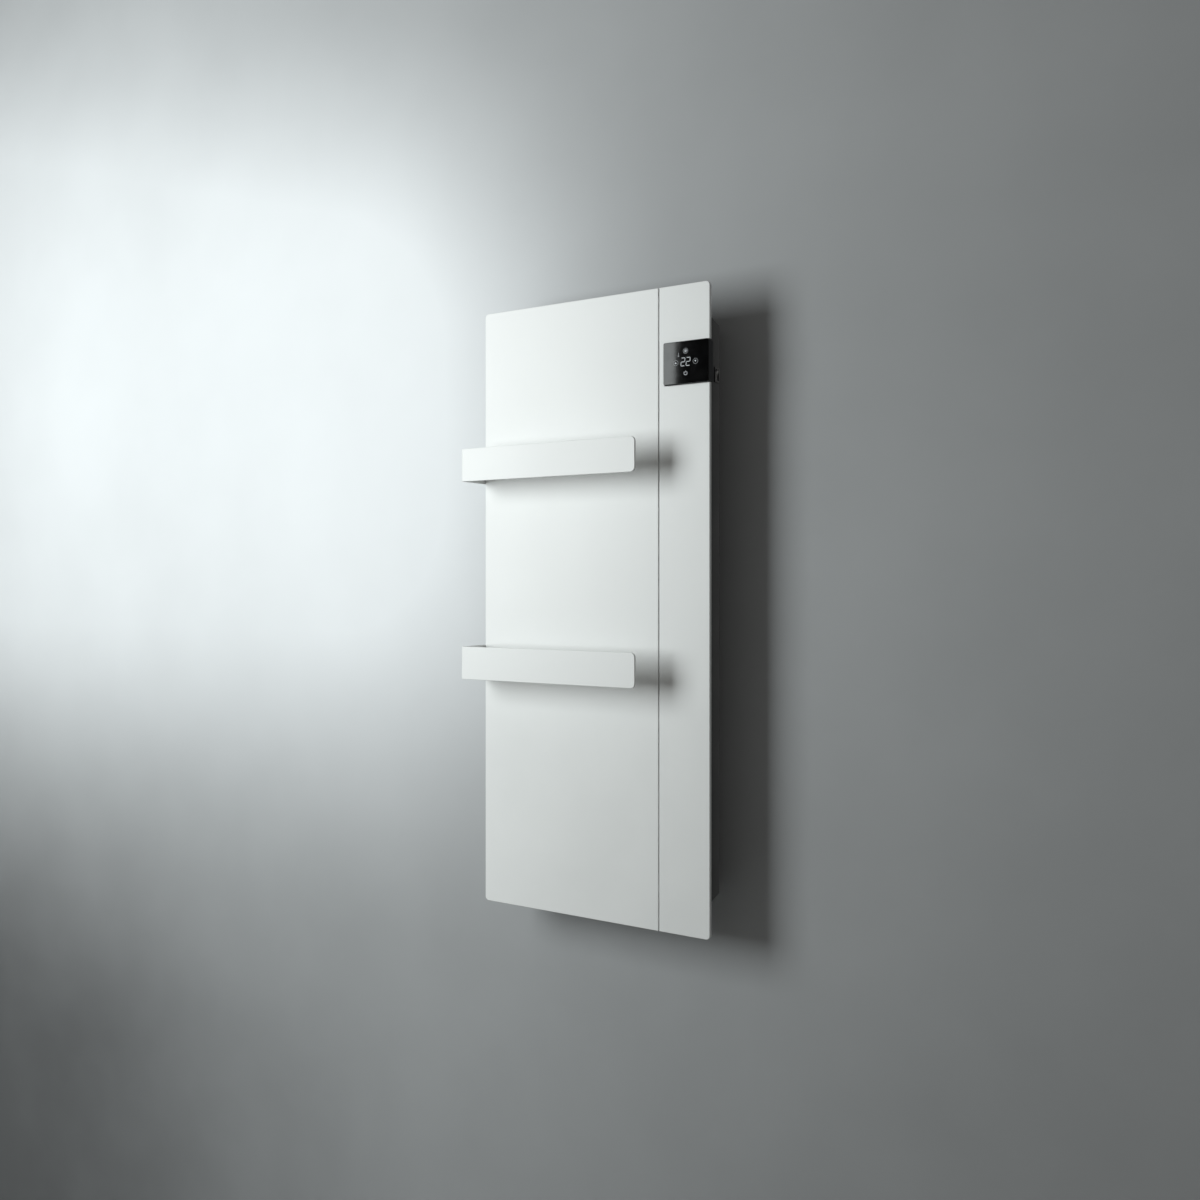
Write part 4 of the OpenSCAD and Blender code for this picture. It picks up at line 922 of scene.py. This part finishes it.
bar_mark(rounds, bulb_place + Vector((0, stem_start)), bulb_place + Vector((0, stem_end)), stem_width,
         lit_depths)
for made_name, lit_mesh, glow in (("display_signs", signs, 0.42), ("display_rings", rounds, 0.14)):
    bmesh.ops.recalc_face_normals(lit_mesh, faces=lit_mesh.faces)
    lit = finish(f"{made_name}_lit", smudged, {"Touches": 400.0}, (0.03, 0.03, 0.03), (0.05, 0.05, 0.05),
                 (0.3, 0.4), 0.001 * mm, Emission_Color=(0.88, 0.94, 1.0, 1.0), Emission_Strength=glow)
    settle(shown_mesh(made_name, lit_mesh), lit, "heater", "control_glass")

# Display board, digit module and touch springs
# A small circuit board under the glass, with the digits' light box in the middle. Behind each key a
# spring of brass wire presses on the glass and carries the touch to the board.
wire_radius = 0.3 * mm
traces, traces_in, traces_out = surface_group("board_traces", "Pads", Traces=260.0, Pads=150.0)
traces_place = object_place(traces)
tracks = put(traces, "ShaderNodeTexVoronoi",
             {"Vector": traces_place, "Scale": traces_in["Traces"], "Randomness": 0.55},
             distance="CHEBYCHEV").outputs["Distance"]
bands = ranged(traces, reckoned(traces, "PINGPONG", tracks, 0.16), 0.05, 0.09)
solder = put(traces, "ShaderNodeTexVoronoi",
             {"Vector": traces_place, "Scale": traces_in["Pads"], "Randomness": 0.4}).outputs["Distance"]
feed(traces, traces_out, Tone=bands, Height=bands, Pads=ranged(traces, solder, 0.22, 0.18))
circuit_board = finish("circuit_board", traces, {}, (0.008, 0.085, 0.035), (0.022, 0.17, 0.075),
                       (0.26, 0.38), 0.035 * mm, worn=(0.40, 0.36, 0.18), wear=0.6)
board_tree = circuit_board.node_tree
board_shader = board_tree.nodes["Principled BSDF"]
mask_colour = board_shader.inputs["Base Color"].links[0].from_socket
traces_node = next(n for n in board_tree.nodes if n.type == "GROUP" and n.node_tree == traces)
pads_mask = traces_node.outputs["Pads"]
feed(board_tree, board_shader.inputs, Metallic=pads_mask,
     Base_Color=mixed_colour(board_tree, pads_mask, mask_colour, (0.62, 0.62, 0.60, 1.0)))
dress(circuit_board, "circuit_board", "display_board", "power_board")
dress(black_plastic, "black_plastic", "display_module")

spring_tree, spring_in, spring_out = group_tree(
    "GeometryNodeTree", "touch_spring_rows",
    [("Points", "NodeSocketGeometry", None), ("Finish", "NodeSocketMaterial", None),
     ("Wire radius", "NodeSocketFloat", wire_radius), ("Coil radius", "NodeSocketFloat", 3.5 * mm),
     ("Height", "NodeSocketFloat", 4.0 * mm), ("Turns", "NodeSocketFloat", 4.0)],
    [("Springs", "NodeSocketGeometry")])
coil = put(spring_tree, "GeometryNodeCurveSpiral",
           {"Resolution": 20, "Rotations": spring_in["Turns"], "Start Radius": spring_in["Coil radius"],
            "End Radius": spring_in["Coil radius"], "Height": spring_in["Height"]}).outputs[0]
wire = put(spring_tree, "GeometryNodeCurvePrimitiveCircle",
           {"Resolution": 8, "Radius": spring_in["Wire radius"]}).outputs[0]
wound = put(spring_tree, "GeometryNodeCurveToMesh",
            {"Curve": coil, "Profile Curve": wire, "Fill Caps": True}).outputs[0]
feed(spring_tree, spring_out,
     Springs=set_out(spring_tree, spring_in["Points"], wound, (-forward_facing, 0, 0),
                     spring_in["Finish"]))
brass = finish("brass_wire", plated, {"Cloud": 500.0}, (0.62, 0.44, 0.18), (0.84, 0.66, 0.34),
               (0.20, 0.34), 0.005 * mm, Metallic=1.0)
spring_low, spring_high = solids_of("touch_springs")[0]
placed_rows("key_springs", spring_tree, seats_of("touch_springs", wire_radius, forward=True),
            brass, "heater", "brass", "touch_springs",
            coil_radius=(spring_high.x - spring_low.x) / 2 - wire_radius,
            height=spring_high.y - spring_low.y - 2 * wire_radius)

# Control strap and screws
# A zinc-plated strap bent to a hat goes over the case's rear, and clamps it to the carrier. Two
# screws hold it to the case's bosses and two to the carrier.
small_head = 1.8 * mm
eased_node("control_strap", "case_strap", zinc, "zinc_plated_steel", 0.25 * mm)

placed_rows("control_screw_set", cross_head, seats_of("control_screws", small_head), zinc, "heater",
            "zinc_plated_steel", "control_screws", head_radius=2.6 * mm, head_height=small_head,
            shank_radius=1.25 * mm, shank_length=4.0 * mm, recess_width=2.9 * mm, recess_depth=0.9 * mm)

# Mains switch body
# A black snap-in body with a bezel, in the housing's right side near the wall.
# Three plated blades at its back take the leads.
eased_node("switch_body", "switch_frame", black_plastic, "black_plastic",
           chosen=lambda edge: edge.is_convex)

# Mains rocker
# A glossier moulding that tips about its pin. Its face is dished between two raised ends,
# marked with a plain stroke for on and a ring for off. At rest the stroke's end is pressed in.
rocker_edge = 0.45 * mm
rocker_tilt = math.radians(10)
rocker_half = 10 * mm
rocker_width = 12 * mm
rocker_depth = 6 * mm
root_half = 3.5 * mm
root_corner = 0.6 * mm
shoulder_depth = 1.5 * mm
shoulder_corner = 1.0 * mm
nose_corner = 0.3 * mm
pin_radius = 1.2 * mm
face_rise = 3.6 * mm
face_radius = 23.4 * mm
face_lean = math.radians(24)
face_corner = face_rise - rocker_half * math.tan(face_lean)
face_middle = face_corner + face_radius * (1 / math.cos(face_lean) - 1)
rocker_low, rocker_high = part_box("switch_rocker")
rocker_joint = next(j for j in frame["joints"] if j["child"] == "rocker")
pivot = Vector(rocker_joint["pos_m"])
tipped = Matrix.Translation(pivot) @ Matrix.Rotation(rocker_tilt, 4, "Y")
upper_half = [(face_rise, rocker_half, nose_corner), (-shoulder_depth, rocker_half, shoulder_corner),
              (-rocker_depth, root_half, root_corner)]
lower_half = [(x, -z, radius) for x, z, radius in reversed(upper_half)]
rocker_corners = [*lower_half, (face_corner, 0.0, face_radius), *upper_half]
key = bmesh.new()
loft(key, [(outline(rocker_corners, inset, 10), y)
           for inset, y in eased_rings(rocker_width / 2, rocker_edge)])
bmesh.ops.create_cone(key, cap_ends=True, segments=24, radius1=pin_radius, radius2=pin_radius,
                      depth=rocker_high.y - rocker_low.y,
                      matrix=Matrix.Rotation(math.radians(90), 4, "X"))
bmesh.ops.transform(key, matrix=tipped, verts=key.verts)
rocker_plastic = finish("rocker_plastic", moulded, {"Grain": 2600.0}, (0.016, 0.016, 0.018),
                        (0.026, 0.026, 0.029), (0.30, 0.42), 0.015 * mm)
settle(shown_mesh("rocker_key", key), rocker_plastic, "rocker", "rocker_plastic", "switch_rocker")

mark_place = 5.4 * mm
mark_reach = 1.8 * mm
ring_line = 0.5 * mm
stroke_width = 0.55 * mm
print_depths = (-0.03 * mm, 0.05 * mm)
marks = bmesh.new()
round_mark(marks, Vector((0, mark_place)), mark_reach, ring_line, print_depths)
bar_mark(marks, Vector((0, -mark_place - mark_reach)), Vector((0, mark_reach - mark_place)),
         stroke_width, print_depths, point=0.0)
for vert in marks.verts:
    depth, height = vert.co.y, vert.co.z
    curve = face_radius - math.sqrt(face_radius ** 2 - height ** 2)
    vert.co = (face_middle + curve - depth, vert.co.x, height)
bmesh.ops.transform(marks, matrix=tipped, verts=marks.verts)
bmesh.ops.recalc_face_normals(marks, faces=marks.faces)
white_print = finish("white_print", extruded, {}, (0.60, 0.60, 0.58), (0.72, 0.72, 0.70), (0.5, 0.6),
                     0.01 * mm)
settle(shown_mesh("rocker_marks", marks), white_print, "rocker", "rocker_plastic")

# Power board's pillars and parts
# Nylon pillars on the housing's floor carry the board. A relay, a transformer and a capacitor stand
# on it, and a terminal block with sunk screws takes the mains lead.
white_plastic = finish("white_plastic", moulded, {}, (0.70, 0.70, 0.67), (0.80, 0.80, 0.77),
                       (0.36, 0.50), 0.03 * mm, worn=(0.86, 0.86, 0.84), wear=0.3)
relay_blue = finish("relay_blue", moulded, {}, (0.03, 0.09, 0.30), (0.05, 0.14, 0.42), (0.34, 0.46),
                    0.02 * mm, worn=(0.15, 0.24, 0.5), wear=0.4)
sleeve = finish("capacitor_sleeve", extruded, {"Bloom": 300.0}, (0.16, 0.10, 0.05), (0.28, 0.18, 0.09),
                (0.18, 0.28), 0.02 * mm, worn=(0.42, 0.32, 0.20), wear=0.3)
for node, made_name, material, slot, width in (
        ("board_pillars", "nylon_pillars", white_plastic, "white_plastic", 0.3 * mm),
        ("terminal_block", "mains_terminals", white_plastic, "white_plastic", 0.6 * mm),
        ("relay", "relay_can", relay_blue, "relay_blue", 0.5 * mm),
        ("capacitor", "capacitor_can", sleeve, "capacitor_film", 1.0 * mm)):
    eased_node(node, made_name, material, slot, width, 3)

pole_pitch = 12 * mm
row_place = 7 * mm
well_depth = 6 * mm
clamp_head = 2.0 * mm
block_low, block_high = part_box("terminal_block")
block_middle = (block_low + block_high) / 2
clamp_seats = [(block_middle.x + pole * pole_pitch, block_low.y + well_depth,
                block_middle.z + row * row_place) for pole in (-1, 0, 1) for row in (-1, 1)]
placed_rows("terminal_screws", cross_head, clamp_seats, zinc, "heater", "zinc_plated_steel", None,
            facing=forward_facing, head_radius=2.4 * mm, head_height=clamp_head, shank_radius=1.4 * mm,
            shank_length=1.0 * mm, recess_width=2.6 * mm, recess_depth=0.9 * mm)

# Transformer
# A ferrite core in two halves, glued over a bobbin. The winding on the bobbin is wrapped in layers of
# yellow polyester tape, whose edges show as fine lines.
core_height = 8 * mm
core_edge = 0.5 * mm
winding_inset = Vector((3.6 * mm, 2.4 * mm, core_height / 2))
winding_round = 2.2 * mm
core_low, core_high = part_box("transformer")
ferrite = finish("ferrite", moulded, {"Grain": 3200.0, "Flow": 140.0}, (0.030, 0.030, 0.032),
                 (0.060, 0.060, 0.062), (0.48, 0.66), 0.03 * mm, worn=(0.15, 0.15, 0.15), wear=0.6)
tape = finish("winding_tape", rolled, {"Across": (30.0, 30.0, 1500.0)}, (0.50, 0.36, 0.06),
              (0.72, 0.55, 0.14), (0.26, 0.40), 0.06 * mm)


def rounded_block(name, low, high, width, steps=3):
    """A block with all its edges rounded"""
    bm = bmesh.new()
    bmesh.ops.create_cube(bm, size=1.0)
    for vert in bm.verts:
        vert.co = Vector((low[i] + high[i]) / 2 + vert.co[i] * (high[i] - low[i]) for i in range(3))
    break_edges(bm, width, steps)
    return shown_mesh(name, bm)


for half, low_z in (("lower", core_low.z), ("upper", core_high.z - core_height)):
    core = rounded_block(f"core_{half}_half", (core_low.x, core_low.y, low_z),
                         (core_high.x, core_high.y, low_z + core_height), core_edge)
    settle(core, ferrite, "heater", "transformer_core", "transformer")
winding = rounded_block("taped_winding", core_low + winding_inset, core_high - winding_inset,
                        winding_round, 4)
settle(winding, tape, "heater", "transformer_core", "transformer")

# Power board's screws
# Small zinc-plated screws with pan heads and cross recesses. They go through the board's corners
# into the nylon pillars, and their heads point forward.
board_head = 1.6 * mm
placed_rows("board_screw_set", cross_head, seats_of("board_screws", board_head, forward=True), zinc,
            "heater", "zinc_plated_steel", "board_screws", facing=forward_facing,
            head_radius=2.6 * mm, head_height=board_head, shank_radius=1.25 * mm,
            shank_length=7.6 * mm, recess_width=2.9 * mm, recess_depth=0.8 * mm)

# Convector element, its brackets and the heat shield
# A finned aluminium tube low in the housing warms the air that rises through the slots. Galvanised
# angles hold its pins, and a bright sheet keeps its heat off the housing's back.
dress(aluminium, "aluminium", "convector_element", "heat_shield")
eased_node("element_brackets", "element_angles", galvanised, "galvanised_steel")

# Cable gland
# Grey nylon in three pieces through the lower sloping wall: threaded body, hexagon locknut inside
# and a domed cap. Nothing is led through it here.
grey_nylon = finish("grey_nylon", moulded, {"Grain": 1200.0}, (0.12, 0.125, 0.13), (0.17, 0.175, 0.18),
                    (0.40, 0.54), 0.04 * mm, worn=(0.28, 0.285, 0.29), wear=0.4)
for node, made_name in (("gland_body", "gland_barrel"), ("gland_cap", "gland_dome"),
                        ("gland_locknut", "gland_backnut")):
    eased_node(node, made_name, grey_nylon, "grey_nylon")

# Leads inside the housing
# Silicone-covered leads between the terminals, the switch, the board, the control and the cable,
# each cut to its length and held at both ends.
white_silicone = finish("white_silicone", extruded, {}, (0.68, 0.68, 0.65), (0.78, 0.78, 0.75),
                        (0.42, 0.56), 0.02 * mm)
dress(white_silicone, "silicone_white", "switch_lead", "supply_lead", "heater_leads", "display_lead",
      "sensor_lead")

# Room: the wall behind the heater and the floor below it
# A grey plastered wall with a painted pool of light to the heater's left and painted shade low on the
# far left, and a pale floor.
# From behind, and close behind the heater, light passes the wall, so that the rear can be seen.
room_half = 7.0
wall_top = 4.5
floor_depth = -1.9
wall_behind = 0.6 * mm
close_behind = 60 * mm
heater_reach = 0.8
first_bounces = 1.5


def room_plane(name, material, corners):
    """One flat face of the room"""
    mesh = bpy.data.meshes.new(name)
    mesh.from_pydata(corners, [], [(0, 1, 2, 3)])
    mesh.materials.append(material)
    plane = bpy.data.objects.new(name, mesh)
    bpy.context.scene.collection.objects.link(plane)
    plane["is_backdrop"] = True


plaster, plaster_in, plaster_out = surface_group("plaster", Trowel=3.0)
plaster_place = object_place(plaster)
feed(plaster, plaster_out, Tone=clouds(plaster, plaster_place, plaster_in["Trowel"], 3),
     Height=noise_at(plaster, plaster_place, 60, 3))
shaded_wall, shaded_in, shaded_out = surface_group("shaded_wall", Trowel=3.0, Mottle=0.04)


def fading(value, start, end, low=0.0, high=1.0):
    """A soft step along an axis of the wall, from low at its start to high at its end"""
    limits = {"Value": value, "From Min": start, "From Max": end, "To Min": low, "To Max": high}
    return put(shaded_wall, "ShaderNodeMapRange", limits, interpolation_type="SMOOTHSTEP").outputs[0]


def product(*values):
    """Multiplies numbers"""
    result = values[0]
    for value in values[1:]:
        result = reckoned(shaded_wall, "MULTIPLY", result, value)
    return result


# Painted light: the wall's tone holds a painted pool of light to the heater's left and painted shade low
# on the far left. The numbers below shape them.
palest = 0.80
darkest = 0.13
coolness = 0.02
plain_tone = 0.415
pool_gain = 0.461
pool_full = 0.767
pool_slant = 0.285
pool_side = (0.22, -0.76)
pool_top = (1.27, 0.44)
pool_foot = (-0.75, 0.25)
pool_fall = (-1.52, 0.17, 0.33)
gloom = 0.681
gloom_depth = (0.02, -1.30)
gloom_side = (-0.14, -2.01, 0.21)
across = put(shaded_wall, "ShaderNodeSeparateXYZ", {"Vector": object_place(shaded_wall)}).outputs
slanted = reckoned(shaded_wall, "MULTIPLY_ADD", across["X"], pool_slant, across["Z"])
# The painted pool of light: paler paint in a soft window to the heater's left.
window = product(fading(across["X"], *pool_side), fading(slanted, *pool_top),
                 fading(across["Z"], *pool_foot))
painted_light_pool = product(ranged(shaded_wall, window, 0.0, pool_full), fading(across["X"], *pool_fall))
# The painted shade: darker paint low on the far left, deepened by gloom.
painted_shade = product(fading(across["Z"], *gloom_depth), fading(across["X"], *gloom_side))
lit_tone = ranged(shaded_wall, painted_light_pool, 0.0, 1.0, plain_tone, plain_tone + pool_gain)
wall_tone = product(lit_tone, ranged(shaded_wall, painted_shade, 0.0, 1.0, 1.0, 1.0 - gloom))
skim = put(shaded_wall, "ShaderNodeGroup", {"Trowel": shaded_in["Trowel"]}, node_tree=plaster).outputs
unevenness = product(reckoned(shaded_wall, "SUBTRACT", skim["Tone"], 0.5), shaded_in["Mottle"])
feed(shaded_wall, shaded_out, Height=skim["Height"],
     Tone=reckoned(shaded_wall, "ADD", ranged(shaded_wall, wall_tone, darkest, palest), unevenness))
dark_grey, pale_grey = ((tone * (1 - coolness), tone, tone * (1 + coolness))
                        for tone in (darkest, palest))
# The wall's paint carries the painted pool of light and the painted shade as well as the plaster's
# mottle.
wall_paint_and_painted_light = finish("wall_paint_and_painted_light", shaded_wall, {}, dark_grey, pale_grey, (0.85, 0.78), 0.1 * mm,
                    Specular_IOR_Level=0.2)
wall_tree = wall_paint_and_painted_light.node_tree
rear_side = wall_tree.nodes.new("ShaderNodeNewGeometry").outputs["Backfacing"]
wall_rays = wall_tree.nodes.new("ShaderNodeLightPath").outputs
from_middle = put(wall_tree, "ShaderNodeVectorMath", {0: object_place(wall_tree)}, operation="LENGTH")
behind_heater = reckoned(wall_tree, "LESS_THAN", wall_rays["Ray Length"], close_behind)
for value, limit in ((wall_rays["Ray Depth"], first_bounces),
                     (from_middle.outputs["Value"], heater_reach)):
    mask = reckoned(wall_tree, "LESS_THAN", value, limit)
    behind_heater = reckoned(wall_tree, "MULTIPLY", behind_heater, mask)
let_through = reckoned(wall_tree, "MAXIMUM", rear_side, behind_heater)
see_through = put(wall_tree, "ShaderNodeMixShader",
                  {0: let_through, 1: wall_tree.nodes["Principled BSDF"].outputs[0],
                   2: wall_tree.nodes.new("ShaderNodeBsdfTransparent").outputs[0]})
feed(wall_tree, wall_tree.nodes["Material Output"].inputs, Surface=see_through.outputs[0])
room_plane("wall", wall_paint_and_painted_light,
           [(-room_half, wall_behind, floor_depth), (room_half, wall_behind, floor_depth),
            (room_half, wall_behind, wall_top), (-room_half, wall_behind, wall_top)])

floor_paint = finish("floor_paint", plaster, {}, (0.60, 0.60, 0.59), (0.64, 0.64, 0.63), (0.6, 0.7),
                     0.1 * mm)
room_plane("floor", floor_paint,
           [(-room_half, -room_half, floor_depth), (room_half, -room_half, floor_depth),
            (room_half, room_half, floor_depth), (-room_half, room_half, floor_depth)])

# Light
# One large soft lamp in front and to the left, whose edge shows in the control's glass, a weaker one
# that washes the wall on the far left, and one behind the wall for the rear.
lamp_tint = (0.945, 1.0, 1.0)
backdrop_tone = 0.45
front_tone = 0.04
fill_tone = 0.17


def lamp(name, place, aim, width, height, radiance, spread=180):
    """A rectangular lamp that points at a place; its power follows from its radiance and size"""
    data = bpy.data.lights.new(name, "AREA")
    data.shape = "RECTANGLE"
    data.size = width
    data.size_y = height
    data.energy = radiance * width * height * math.pi
    data.spread = math.radians(spread)
    data.color = lamp_tint
    made = bpy.data.objects.new(name, data)
    made.location = place
    made.rotation_euler = (Vector(aim) - Vector(place)).to_track_quat("-Z", "Y").to_euler()
    made.visible_camera = False
    bpy.context.scene.collection.objects.link(made)


lamp("key_lamp", (-1.68, -2.1, 0.62), (-1.68, 0.0, 0.62), width=1.6, height=1.8, radiance=8.6)
lamp("wall_wash", (-1.45, -0.95, 0.58), (-1.45, 0.0, 0.58), width=1.5, height=0.9, radiance=0.12,
     spread=115)
lamp("rear_lamp", (-1.7, 2.3, 1.3), (0.0, 0.0, 0.0), width=1.8, height=1.8, radiance=9.0)
world = bpy.data.worlds.new("studio")
world.use_nodes = True
world_tree = world.node_tree
background = world_tree.nodes["Background"].inputs
rays = world_tree.nodes.new("ShaderNodeLightPath").outputs
seen = reckoned(world_tree, "MAXIMUM", rays["Is Camera Ray"], rays["Is Transmission Ray"])
way_out = world_tree.nodes.new("ShaderNodeTexCoord").outputs["Generated"]
depth = put(world_tree, "ShaderNodeSeparateXYZ", {0: way_out}).outputs["Y"]
mirrored = ranged(world_tree, depth, -0.5, 0.2, front_tone, backdrop_tone)
strength = mixed_value(world_tree, seen, fill_tone, backdrop_tone)
feed(world_tree, background,
     Strength=mixed_value(world_tree, rays["Is Glossy Ray"], strength, mirrored))
background["Color"].default_value = (1.0, 0.99, 0.95, 1.0)
bpy.context.scene.world = world

# Camera
# It stands to the right of the heater, level, and turned to it, as the photograph was taken.
# The small vertical shift is the photograph's own framing.
camera_data = bpy.data.cameras.new("camera")
camera_data.sensor_width = 36.0
camera_data.lens = 34.8408
camera_data.shift_y = -0.014541
camera = bpy.data.objects.new("camera", camera_data)
camera.location = (1.20514, -2.00517, 0.05042)
camera.rotation_euler = (math.radians(90), 0.0, math.radians(32.0005))
bpy.context.scene.collection.objects.link(camera)
bpy.context.scene.camera = camera
bpy.context.scene.view_settings.view_transform = "Standard"

low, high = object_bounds()
